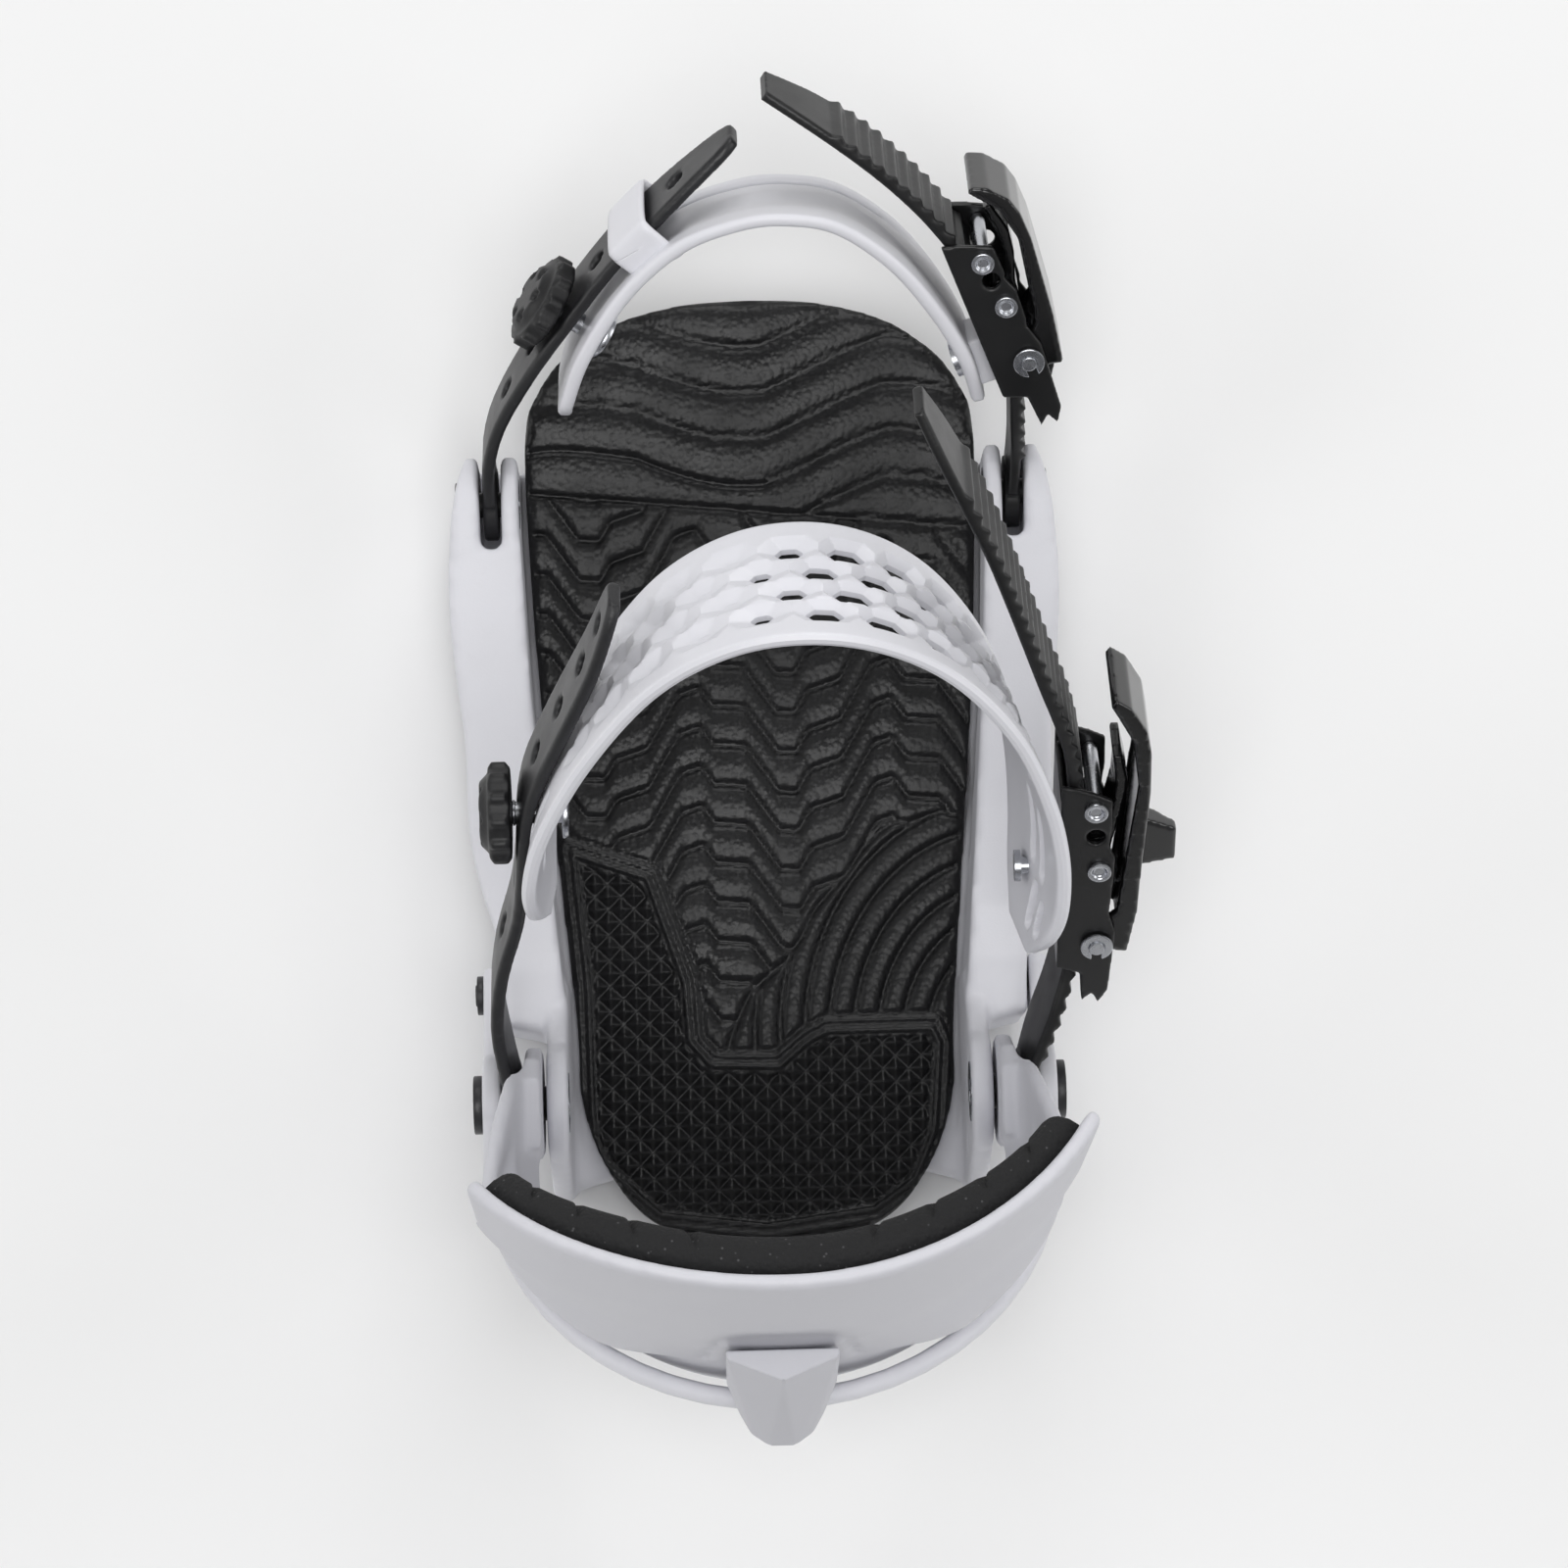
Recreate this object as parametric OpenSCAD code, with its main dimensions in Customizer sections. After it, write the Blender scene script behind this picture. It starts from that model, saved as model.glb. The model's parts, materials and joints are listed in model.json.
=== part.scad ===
// Strap-in snowboard binding, right foot, medium/large.
// X points right, Y towards the toes, Z up. The origin is the centre of the
// mounting disc on the board's top sheet. Millimetres.

/* [Base] */
// Half of the clear width between the rails at the toe
rail_inner = 55.4; // [48:0.2:64]
// Half of the clear width between the heel walls
heel_inner = 46.5; // [40:0.5:52]
// Half of the widest part of the rails
rail_outer = 72.5; // [64:0.5:84]
// Front end of the rails, from the disc centre
rail_front = 76; // [64:1:92]
// Front edge of the floor, from the disc centre
floor_front = 97; // [92:1:110]
// Rear end of the heel walls, from the disc centre
heel_rear = 100; // [95:1:112]
// Height of the rails at the front
rail_h = 38; // [30:1:46]
// Thickness of the heel walls
wall_t = 5; // [4:0.5:7]
// Thickness of the foam pads under the base
under_pad_t = 3; // [2:0.5:5]
// Thickness of the base floor
floor_t = 7; // [6:0.5:9]

/* [Mounting disc] */
// Radius of the disc's toothed flange
disc_r = 50; // [45:0.5:52]
// Spacing of the four board screws, both ways
board_pitch = 40; // [38:1:42]
// Radius of the board screw holes
board_hole_r = 3.2; // [2.8:0.1:3.6]

/* [Footbed] */
// Gap between the footbed's edge and the base beside it
bed_gap = 1.5; // [1:0.25:3]
// Height of the footbed's top at the heel
bed_heel_z = 14.5; // [13:0.5:18]
// Height of the footbed's top at the toes
bed_toe_z = 26; // [20:0.5:32]
// Front edge of the footbed, from the disc centre
bed_front = 114.7; // [108:0.5:124]
// Rear edge of the footbed, from the disc centre
bed_rear = 111.5; // [100:0.5:116]
// Radius of the footbed's hinge pin
bed_pin_r = 2; // [1.5:0.25:3]

/* [Highback] */
// Distance of the highback bolts behind the disc centre
pivot_y = 79; // [70:1:88]
// Height of the highback bolts
pivot_z = 48; // [42:1:54]
// Radius of the highback bolts' shanks
pivot_r = 4; // [3:0.25:5]
// Height of the highback's rim at the middle
back_h = 235; // [200:1:280]
// Wall thickness of the highback
back_t = 3.4; // [2.5:0.1:5]
// Thickness of the foam pad on the highback
pad_t = 8.5; // [5:0.5:14]
// Half of the highback's width across the rim tips
back_w = 64.3; // [54:0.5:74]
// Sliding travel of the forward lean block
lean_travel = 10; // [6:1:12]

/* [Heel hoop] */
// Thickness of the hoop
hoop_t = 4.5; // [3.5:0.5:6]
// Height of the hoop's band
hoop_w = 18; // [14:1:24]
// Rear face of the hoop, from the disc centre
hoop_rear = 151.5; // [146:0.5:165]
// Height of the hoop's upper edge at the rear
hoop_top = 90; // [80:1:100]

/* [Straps] */
// Forward lean of the ankle strap from upright, in degrees
ankle_lean = 42; // [34:1:50]
// Forward lean of the toe strap from upright, in degrees
toe_lean = 50; // [42:1:58]
// Distance of the toe strap bolts ahead of the disc centre
toe_y = 66; // [60:1:70]
// Height of the toe strap bolts
toe_z = 26; // [22:1:30]
// Radius of the toe strap bolts
toe_r = 3; // [2.5:0.25:4]
// Thickness of the straps
strap_t = 3.4; // [3:0.2:5]
// Width of the ladder straps
ladder_w = 20; // [18:0.5:24]
// Thickness of the ladder straps without their teeth
ladder_t = 2.4; // [2:0.2:3.2]
// Height of the ladder teeth
tooth_h = 1.2; // [0.8:0.1:1.6]
// Width of the slotted connector straps
connector_w = 20; // [16:0.5:24]
// Thickness of the connector straps
connector_t = 3; // [2.4:0.2:4]
// Radius of the length-adjusting knobs
knob_r = 10.5; // [8:0.5:13]

/* [Buckles] */
// Distance between lever axle and pawl axle on the ankle buckle
ankle_axle_gap = 22.4; // [20:0.2:26]
// Distance between lever axle and end rivet on the ankle buckle
ankle_rivet_gap = 40; // [36:0.5:46]
// Distance between lever axle and pawl axle on the toe buckle
toe_axle_gap = 15.6; // [14:0.2:19]
// Distance between lever axle and end rivet on the toe buckle
toe_rivet_gap = 28.2; // [25:0.2:34]
// Radius of the buckle axles and rivets
axle_r = 1.8; // [1.5:0.1:2.4]
// Thickness of the buckle side plates
plate_t = 1.4; // [1:0.1:2]

/* [Fits] */
// Radial clearance of the hinge pins and axles
pin_fit = 0.05; // [0.03:0.01:0.1]
// Gap between pieces that pass each other
pass_gap = 0.8; // [0.5:0.1:1.5]

/* [Hidden] */
$fn = 48;
e = 0.01;

white = "#e6e6ea";
black = "#1f1f20";
steel = "#b9bcc2";
slate = "#38383a";

floor_z = under_pad_t + floor_t;
// side stack at the highback bolts, from the inside outwards
ear_in = heel_inner + wall_t + pass_gap;
ear_t = 4;
eye_in = ear_in + ear_t + 1;
eye_t = 3.6;
eye_x = eye_in + eye_t / 2;
arm_in = eye_in + eye_t + 1;
arm_x = arm_in + hoop_t / 2;
arm_out = arm_in + hoop_t;

// ---------- curves and swept bands ----------
function mix(a, b, t) = a + (b - a) * t;
function cr(p, q, r, s, t) = 0.5 * (2 * q + (r - p) * t
    + (2 * p - 5 * q + 4 * r - s) * t * t + (3 * q - p - 3 * r + s) * t * t * t);
function curve(c, n) = let (m = len(c) - 1) concat(
    [for (i = [0:m - 1]) for (k = [0:n - 1])
        cr(c[max(i - 1, 0)], c[i], c[i + 1], c[min(i + 2, m)], k / n)], [c[m]]);
function unit(v) = v / norm(v);
// outward normal of a band's path at station i, path columns are x and height
function band_n(p, i) = let (m = len(p) - 1, a = p[max(i - 1, 0)], b = p[min(i + 1, m)],
    t = unit([b[0] - a[0], b[1] - a[1]])) [-t[1], t[0]];

// Closed solid through rings of points, with both ends capped
module loft(rings) {
    n = len(rings[0]);
    m = len(rings);
    polyhedron(points = [for (r = rings) each r], faces = concat(
        [[for (i = [0:n - 1]) i]],
        [for (j = [0:m - 2]) for (i = [0:n - 1]) let (a = j * n + i, b = j * n + (i + 1) % n)
            each [[a, a + n, b], [b, a + n, b + n]]],
        [[for (i = [n - 1:-1:0]) (m - 1) * n + i]]), convexity = 8);
}

// One ring of a band: t runs across the band, x outwards and z along the arch
// w widens the arch towards its rear edge: per side for x and once for the height
function band_ring(p, i, th, up = 0, c = 0.7, w = [0, 0, 0, 0]) = let (q = p[i],
    n = band_n(p, i), a = q[2], b = q[3], h = th / 2,
    f = function (t, o) let (d = w[3] - t) [5 + (q[0] - 5) * (1 + d * (q[0] < 5 ? w[0] : w[1]))
        + n[0] * o, t, q[1] * (1 + d * w[2]) + n[1] * o])
    [f(b - c, -h), f(b, -h + c), f(b, h - c), f(b - c, h + up), f(a + c, h + up),
     f(a, h - c), f(a, -h + c), f(a + c, -h)];
module band(p, th, w = [0, 0, 0, 0])
    loft([for (i = [0:len(p) - 1]) band_ring(p, i, th, w = w)]);
// flip is for bands that run up on the right-hand side
function flip(c) = [for (i = [len(c) - 1:-1:0]) c[i]];

// Ladder strap: a smooth length, then saw teeth on the outer face
module ladder(c, n, smooth) {
    p = curve(c, n);
    loft([for (i = [0:len(p) - 1])
        band_ring(p, i, ladder_t, i % 2 == 1 && i > smooth && i < len(p) - 7 ? tooth_h : 0, 0.5)]);
}

// ---------- frames of the two strap assemblies ----------
// Local x is across the binding, y across the strap and z up the strap
module ankle_frame_at() translate([0, -pivot_y, pivot_z]) rotate([-ankle_lean, 0, 0]) children();
module toe_frame_at() translate([0, toe_y, toe_z]) rotate([-toe_lean, 0, 0]) children();
ankle_buckle = [74.4, 9, 47.8, 0];
toe_buckle = [65.2, -2, 42.7, -20.3];
module ankle_buckle_at() ankle_frame_at() translate([ankle_buckle[0], ankle_buckle[1],
    ankle_buckle[2]]) rotate([0, ankle_buckle[3], 0]) children();
module toe_buckle_in() translate([toe_buckle[0], toe_buckle[1], toe_buckle[2]])
    rotate([0, toe_buckle[3], 0]) children();
module toe_buckle_at() toe_frame_at() toe_buckle_in() children();
module both() { children(); mirror([1, 0, 0]) children(); }
// Cylinder along X or along Y, centred on the origin
module rod_x(r, l) rotate([0, 90, 0]) cylinder(r = r, h = l, center = true);
module rod_y(r, l) rotate([90, 0, 0]) cylinder(r = r, h = l, center = true);

// ---------- base ----------
rail_side = [[heel_inner, -heel_rear], [heel_inner, -60], [50.4, -20], [53.7, 20],
    [rail_inner, 60], [rail_inner, rail_front], each curve([[rail_outer - 4.3, rail_front],
        [rail_outer - 1.5, 65], [rail_outer, 50], [rail_outer, 36], [rail_outer - 1.2, 22],
        [rail_outer - 2.8, 8], [rail_outer - 3.1, -8], [rail_outer - 4, -18], [66, -29],
        [62.6, -40], [61.4, -50], [61.2, -60]], 3),
    [heel_inner + wall_t, -62], [heel_inner + wall_t, -heel_rear]];
rail_profile = [[-heel_rear, under_pad_t], [-heel_rear, 20], [-96, 30], [-62, 40],
    [-48, 40], [-34, 34], [-10, 31], [24, 31], [50, 35], [62, rail_h], [72, rail_h],
    [rail_front, rail_h - 3], [rail_front, under_pad_t]];
module along_x(w) rotate([90, 0, 90]) linear_extrude(height = w, center = true) children();

module base_chassis() color(white) difference() {
    union() {
        // floor
        translate([0, 0, under_pad_t]) linear_extrude(height = floor_t) polygon(concat(
            [[0, -88], [26, -92], [heel_inner + 1, -heel_rear + 2], [heel_inner + 1, -60],
             [60, -30], [66, 0], [66, 40], [56, 70], [50, 88], [38, floor_front - 1],
             [0, floor_front]],
            [[-38, floor_front - 1], [-50, 88], [-56, 70], [-66, 40], [-66, 0], [-60, -30],
             [-heel_inner - 1, -60], [-heel_inner - 1, -heel_rear + 2], [-26, -92]]));
        // rails that run back into the heel walls
        both() intersection() {
            linear_extrude(height = 60) polygon(rail_side);
            along_x(200) polygon(rail_profile);
        }
        // heel walls with a rounded top round the highback bolt
        both() translate([heel_inner + wall_t / 2, 0, 0]) along_x(wall_t) {
            polygon([[-heel_rear, under_pad_t], [-heel_rear, 22], [-94, 46], [-64, 50],
                [-56, 40], [-50, 30], [-50, under_pad_t]]);
            translate([-pivot_y, pivot_z]) circle(r = 14);
        }
    }
    // seat of the disc
    translate([0, 0, -1]) cylinder(r = disc_r - 3.2, h = 20, $fn = 96);
    translate([0, 0, floor_z - 3]) cylinder(r = disc_r + 0.8, h = 20, $fn = 96);
    // strap slots in the front of the rails
    both() translate([59.6, 54, 14]) cube([5.2, 40, 40]);
    both() translate([62.2, toe_y, toe_z]) rod_x(toe_r, 30);
    both() translate([53, toe_y, toe_z]) rod_x(6.1, 9.2);
    both() translate([73.2, toe_y, toe_z]) rod_x(5.6, 10);
    // highback bolts with a seat for the nuts
    both() translate([heel_inner + wall_t / 2, -pivot_y, pivot_z]) rod_x(pivot_r, 20);
    both() translate([heel_inner, -pivot_y, pivot_z]) rod_x(7, 6);
    // hoop screws
    both() translate([57, -52, 29.5]) rod_x(2.5, 12);
    // pockets under the footbed
    for (s = [-1, 1]) translate([s * 25 - 5.4, 80, under_pad_t - 1]) cube([10.8, 40, 20]);
    translate([0, 90, 6.5]) rod_x(bed_pin_r, 92);
    for (s = [-1, 1]) for (y = [-72, -58]) translate([s * 22 - 13, y, under_pad_t - 1])
        cube([26, 9, 20]);
    for (s = [-1, 1]) translate([s * 16 - 9, 58, under_pad_t - 1]) cube([18, 12, 20]);
    // oblong holes in the heel walls
    both() for (y = [-91.5, -88.5]) translate([heel_inner + 2, y, 28]) rod_x(2, 20);
    both() translate([heel_inner - 6, -91.5, 26]) cube([20, 3, 4]);
    // shallow recesses on the outside of the rails
    both() translate([rail_outer + 0.4, -8, 15]) cube([3, 60, 9], center = false);
}

module base_pads() color(black) both() difference() {
    linear_extrude(height = under_pad_t) polygon([[52, -58], [58, -32], [66, -18], [68, 8],
        [69.5, 34], [69, 48], [66, 66], [58, 66], [54, 20], [51.5, -20], [49, -56]]);
    for (y = [-30, 0, 30]) translate([61, y, -1]) cylinder(r = 3, h = 2);
}

module mounting_disc() color(black) difference() {
    union() {
        cylinder(r = disc_r - 4, h = floor_z - 2, $fn = 96);
        translate([0, 0, floor_z - 3]) cylinder(r = disc_r - 1.2, h = 2.6, $fn = 96);
        translate([0, 0, floor_z - 3]) linear_extrude(height = 2.6)
            polygon([for (i = [0:143]) let (a = i * 2.5, r = disc_r - (i % 2 == 0 ? 0 : 1.3))
                [r * cos(a), r * sin(a)]]);
    }
    for (x = [-1, 1]) for (y = [-1, 1]) translate([x, y, 0] * board_pitch / 2) {
        translate([0, 0, -1]) cylinder(r = board_hole_r, h = 20);
        translate([0, 0, floor_z - 4]) cylinder(r = 6.2, h = 20);
    }
    // hollow middle with ribs left standing
    difference() {
        translate([0, 0, 4]) cylinder(r = 18, h = 20);
        for (a = [0, 60, 120]) rotate([0, 0, a]) translate([-20, -1.5, 0]) cube([40, 3, 20]);
    }
    for (a = [0:90:270]) rotate([0, 0, a]) translate([34, 0, 4]) cylinder(r = 5.5, h = 20);
}

bed_side = [[0, -bed_rear], [18, -bed_rear + 1.2], [31, -bed_rear + 8], [40, -bed_rear + 21],
    [heel_inner - bed_gap - 0.5, -76], [heel_inner - bed_gap, -60], [48.6, -20], [51.9, 20],
    [rail_inner - bed_gap, 60], [rail_inner - bed_gap, 84], [51, 93], [44, 102], [32, 109.5],
    [16, bed_front - 1], [0, bed_front]];
bed_outline = curve(bed_side, 4);
module footbed() color(black) difference() {
    union() {
        intersection() {
            linear_extrude(height = 60) polygon(concat(bed_outline,
                [for (p = flip(bed_outline)) [-p[0], p[1]]]));
            along_x(200) polygon([[-130, floor_z + 0.3], [86, floor_z + 0.3], [94, floor_z + 3.4],
                [130, floor_z + 6], [130, bed_toe_z + 2], [bed_front - 8, bed_toe_z],
                [84, bed_toe_z - 3], [52, 17.5], [20, 15.4], [-20, bed_heel_z],
                [-96, bed_heel_z], [-106, bed_heel_z + 1], [-130, bed_heel_z + 4]]);
        }
        for (s = [-1, 1]) translate([s * 25, 90, 0]) {
            translate([0, 0, 6.5]) rod_x(3.3, 9.8);
            translate([-4.9, -3.3, 6.5]) cube([9.8, 6.6, 6]);
        }
    }
    translate([0, 90, 6.5]) rod_x(bed_pin_r + pin_fit, 80);
}
module footbed_pin() color(steel) translate([0, 90, 6.5]) rod_x(bed_pin_r, 90);

// ---------- heel hoop ----------
hoop_y = -95;
hoop_b = hoop_rear + hoop_y - hoop_t / 2;
hoop_front = [[-46, 27.5], [-53, 29.5], [-60, 33], [-66, 37.4], [-72, 42], [-78, 46], [-86, 50]];
// stations of the hoop: x, y and height of the middle of its band
hoop_path = concat(
    [for (q = hoop_front) [arm_x, q[0], q[1]]],
    [for (a = [0:7.5:180]) let (s = sin(a)) [arm_x * cos(a), hoop_y - hoop_b * s,
        mix(52.6, hoop_top - hoop_w / 2, pow(s, 1.4))]],
    [for (q = flip(hoop_front)) [-arm_x, q[0], q[1]]]);
module heel_hoop() color(white) difference() {
    union() {
        loft([for (i = [0:len(hoop_path) - 1]) let (m = len(hoop_path) - 1, q = hoop_path[i],
            a = hoop_path[max(i - 1, 0)], b = hoop_path[min(i + 1, m)],
            t = unit([b[0] - a[0], b[1] - a[1]]), n = [-t[1], t[0]], g = hoop_t / 2,
            k = hoop_w / 2, f = function (o, z) [q[0] - n[0] * o, q[1] - n[1] * o, q[2] + z])
            [f(-g, k - 1), f(-g + 1, k), f(g - 1, k), f(g, k - 1), f(g, -k + 1),
             f(g - 1, -k), f(-g + 1, -k), f(-g, -k + 1)]]);
        both() translate([arm_x, -pivot_y, pivot_z]) rod_x(11.5, hoop_t);
    }
    both() translate([arm_x, -pivot_y, pivot_z]) rod_x(pivot_r, hoop_t + 2);
    both() translate([arm_x, -52, 29.5]) rod_x(2.5, hoop_t + 2);
}
module hoop_screws() color(black) both() {
    translate([arm_in + 1, -52, 29.5]) rod_x(2.5, 11);
    translate([arm_out + 0.8, -52, 29.5]) difference() {
        rod_x(4.6, 1.6);
        translate([0.3, 0, 0]) rotate([0, 90, 0]) cylinder(r = 2, h = 3, $fn = 6);
    }
}
module pivot_bolts() color(slate) both() difference() {
    union() {
        translate([(heel_inner + 3 + arm_out) / 2, -pivot_y, pivot_z])
            rod_x(pivot_r, arm_out - heel_inner - 3);
        translate([arm_out + 1.1, -pivot_y, pivot_z]) rod_x(6.8, 2.2);
    }
    translate([arm_out + 0.6, -pivot_y, pivot_z]) rotate([0, 90, 0])
        cylinder(r = 3, h = 4, $fn = 6);
}
module pivot_nuts() color(steel) both()
    translate([heel_inner + 1.5, -pivot_y, pivot_z]) difference() {
        rod_x(7, 3);
        translate([-2, 0, 0]) rotate([0, 90, 0]) cylinder(r = 3.2, h = 2.6, $fn = 6);
    }

// ---------- highback ----------
back_low = 66;
// the shell swells out over the top of the hoop on both sides of the lean block
flare = 4.4;
back_side = arm_in - 1.3;
function back_y(z) = mix(-hoop_rear + hoop_t + 1.5, -129, (z - back_low) / (back_h - back_low));
function rim_z(u) = back_h - pow(abs(u), 3) * (u < 0 ? 20 : 10);
function low_z(u) = mix(back_low, 58, pow(abs(u), 2));
function s01(x) = let (t = max(0, min(1, x))) t * t * (3 - 2 * t);
// Point of the highback at u across and v up, moved inwards by o. Each level is
// an arc that runs on straight towards the front near the ears.
function back_pt(u, v, o) = let (z = mix(low_z(u), rim_z(u), v), k = s01((z - 80) / 90),
    fm = mix(90, 65, k), ua = mix(0.78, 1, k), f = min(abs(u) / ua, 1) * fm * sign(u),
    a = mix(mix(ear_in + ear_t, back_side, s01((z - 58) / 26)), back_w / sin(65), k),
    b = mix(50, u < 0 ? 43 : 59, k), n = unit([b * sin(f), -a * cos(f)]),
    e = max(0, abs(u) - ua) / (1.001 - ua) * mix(23, 0, s01((z - 62) / 75)),
    d = o - flare * s01((z - hoop_top - 2) / 7) * s01((146 - z) / 40) * s01((abs(u) - 0.16) / 0.22)
        * s01((0.92 - abs(u)) / 0.25))
    [a * sin(f) - n[0] * d - n[1] * sign(u) * e,
     back_y(z) + b * (1 - cos(f)) - n[1] * d + n[0] * sign(u) * e, z];
// Curved slab between two depths of the highback's surface
module back_slab(u0, u1, v0, v1, o0, o1, nu, nv) {
    w = nu + 1;
    s = w * (nv + 1);
    p = [for (o = [o0, o1]) for (j = [0:nv]) for (i = [0:nu])
        back_pt(mix(u0, u1, i / nu), mix(v0, v1, j / nv), o)];
    q = function (i, j, k) k * s + j * w + i;
    polyhedron(points = p, convexity = 8, faces = concat(
        [for (j = [0:nv - 1]) for (i = [0:nu - 1]) each
            [[q(i, j, 0), q(i, j + 1, 0), q(i + 1, j + 1, 0)],
             [q(i, j, 0), q(i + 1, j + 1, 0), q(i + 1, j, 0)],
             [q(i, j, 1), q(i + 1, j + 1, 1), q(i, j + 1, 1)],
             [q(i, j, 1), q(i + 1, j, 1), q(i + 1, j + 1, 1)]]],
        [for (i = [0:nu - 1]) each
            [[q(i, 0, 0), q(i + 1, 0, 0), q(i + 1, 0, 1)], [q(i, 0, 0), q(i + 1, 0, 1), q(i, 0, 1)],
             [q(i, nv, 0), q(i + 1, nv, 1), q(i + 1, nv, 0)],
             [q(i, nv, 0), q(i, nv, 1), q(i + 1, nv, 1)]]],
        [for (j = [0:nv - 1]) each
            [[q(0, j, 0), q(0, j + 1, 1), q(0, j + 1, 0)], [q(0, j, 0), q(0, j, 1), q(0, j + 1, 1)],
             [q(nu, j, 0), q(nu, j + 1, 0), q(nu, j + 1, 1)],
             [q(nu, j, 0), q(nu, j + 1, 1), q(nu, j, 1)]]]));
}
lean_tilt = atan(((hoop_rear - hoop_t - 1.5) - 129) / (back_h - back_low));
lean_z = 112;
module lean_at() translate([0, back_y(lean_z), lean_z]) rotate([-lean_tilt, 0, 0]) children();

module highback() color(white) difference() {
    union() {
        back_slab(-1, 1, 0, 1, 0, back_t, 28, 18);
        both() translate([ear_in + ear_t / 2, 0, 0]) along_x(ear_t) {
            translate([-pivot_y, pivot_z]) circle(r = 13);
            polygon([[-pivot_y - 13, pivot_z - 2], [-pivot_y - 12, 74], [-pivot_y + 4, 76],
                [-pivot_y + 13, pivot_z + 2]]);
        }
    }
    both() translate([ear_in + ear_t / 2, -pivot_y, pivot_z]) rod_x(pivot_r + pin_fit, ear_t + 4);
    // slot for the lean block's screw
    lean_at() {
        translate([-2.8, -8, 0]) cube([5.6, 20, lean_travel]);
        for (z = [0, lean_travel]) translate([0, 2, z]) rod_y(2.8, 20);
    }
}
module highback_pad() color(black)
    back_slab(-0.95, 0.95, 0.4, 0.965, back_t + 0.15, back_t + pad_t, 24, 10);

// Faceted wedge that hangs over the hoop and sets the forward lean
module lean_block() color("#b9b9be") lean_at() difference() {
    hull() {
        translate([-14, -3.4, 26]) cube([28, 2.8, 2]);
        translate([-12.5, -9.4, 8]) cube([25, 8.8, 2]);
        translate([-9, -12.5, -12]) cube([18, 11.9, 2]);
        translate([-7, -16.8, -20.2]) cube([14, 16.2, 3]);
    }
    rod_y(2.5, 10);
}
module lean_screw() color(steel) lean_at() {
    rod_y(2.5, 9.6);
    translate([0, back_t + 2.2, 0]) rod_y(6, 2.4);
}

// ---------- ankle strap ----------
// x, height, rear edge and front edge of the band at each station
ankle_path = [[-49.5, 55, 4, 14], [-50.5, 62, -5, 22], [-50.3, 76, -12, 28],
    [-46.8, 92, -14, 30], [-37.6, 112, -14, 30], [-23.5, 132, -14, 30], [-8, 143, -14, 30],
    [8, 146.5, -14, 30], [24, 143.5, -14, 30], [38.5, 134, -14, 30], [50.5, 117.5, -14, 30],
    [57.5, 99, -14, 30], [60.8, 82, -14, 30], [61.2, 66, -13, 27], [59.8, 54, -9, 22],
    [58, 44, -1, 13]];
ankle_cone = [0.0023, 0.0038, 0.0005, 8];
ankle_mid = curve(ankle_path, 3);
module cell(p, i, t, r) let (q = p[i], n = band_n(p, i))
    translate([q[0], t, q[1]]) rotate([0, atan2(n[0], n[1]), 0]) cylinder(r = r, h = 20,
        center = true, $fn = 6);
module ankle_strap() color(white) ankle_frame_at() difference() {
    band(ankle_mid, strap_t, ankle_cone);
    for (i = [13:2:29]) {
        cell(ankle_mid, i, (i % 4 == 1) ? 12.5 : 8, 3.6);
        if (i < 27) cell(ankle_mid, i, (i % 4 == 1) ? 21.5 : 17, 3.2);
    }
    for (i = [4, 6]) cell(ankle_mid, i, 4, 2.6);
    for (i = [36, 38, 40]) cell(ankle_mid, i, -7, 2.4);
    translate([-50, 9, 82]) rod_x(2.5, 20);
    translate([62, 9, 62]) rod_x(2, 20);
}

ankle_connector_path = [[-59.1, 6, -9, 9], [-60.6, 16, -8, 10], [-62, 28, -5.5, 13],
    [-60.2, 42, -3, 16], [-56.2, 56, -1, 19], [-54.6, 70, -1, 19], [-53.8, 82, -1, 19],
    [-51.1, 94, -1, 19], [-43.9, 111.5, -1, 19], [-37.2, 127, 0, 18], [-32.8, 140, 2.5, 15.5],
    [-31.6, 144, 5, 13]];
module eye(x) difference() {
    translate([x, 0, 0]) rod_x(9.6, eye_t);
    translate([x, 0, 0]) rod_x(pivot_r + pin_fit, eye_t + 4);
}
module ankle_connector() color(slate) ankle_frame_at() difference() {
    union() {
        band(curve(ankle_connector_path, 3), connector_t);
        translate([-eye_x, 0, 0]) rod_x(9.6, eye_t);
    }
    translate([-eye_x, 0, 0]) rod_x(pivot_r + pin_fit, eye_t + 14);
    translate([-56, 9, 82]) rod_x(2.6, 12);
    for (z = [99, 112, 124, 135]) translate([0.44 * (z - 130) - 35.8, 9, z])
        rotate([0, -66, 0]) cylinder(r = 2.5, h = 30, center = true);
    translate([-60, 9, 48]) rod_x(2.6, 14);
    translate([-60, 9, 64]) rod_x(2.6, 14);
}
module ankle_ladder() color(black) ankle_frame_at() difference() {
    union() {
        ladder(flip([[59.1, 6, -9, 9], [61.2, 16, -8, 10], [65.2, 28, -5.5, 13.5],
            [68.3, 39, -1, 19], [68.4, 50, -1, 19], [68.4, 62, -1, 19], [68.4, 74, -1, 19],
            [68.4, 86, -1, 19], [67.9, 98, -1, 19], [65.2, 109.5, -1, 19],
            [61.2, 121.5, -1, 19], [57.2, 134, -1, 19], [53.3, 146, -1, 19],
            [49, 158.5, -1, 19], [44, 171, -1, 19],
            [38.6, 183, 0.5, 17.5], [33.5, 194, 4, 14]]), 6, 9);
        translate([eye_x, 0, 0]) rod_x(9.6, eye_t);
    }
    translate([eye_x, 0, 0]) rod_x(pivot_r + pin_fit, eye_t + 14);
}

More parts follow.
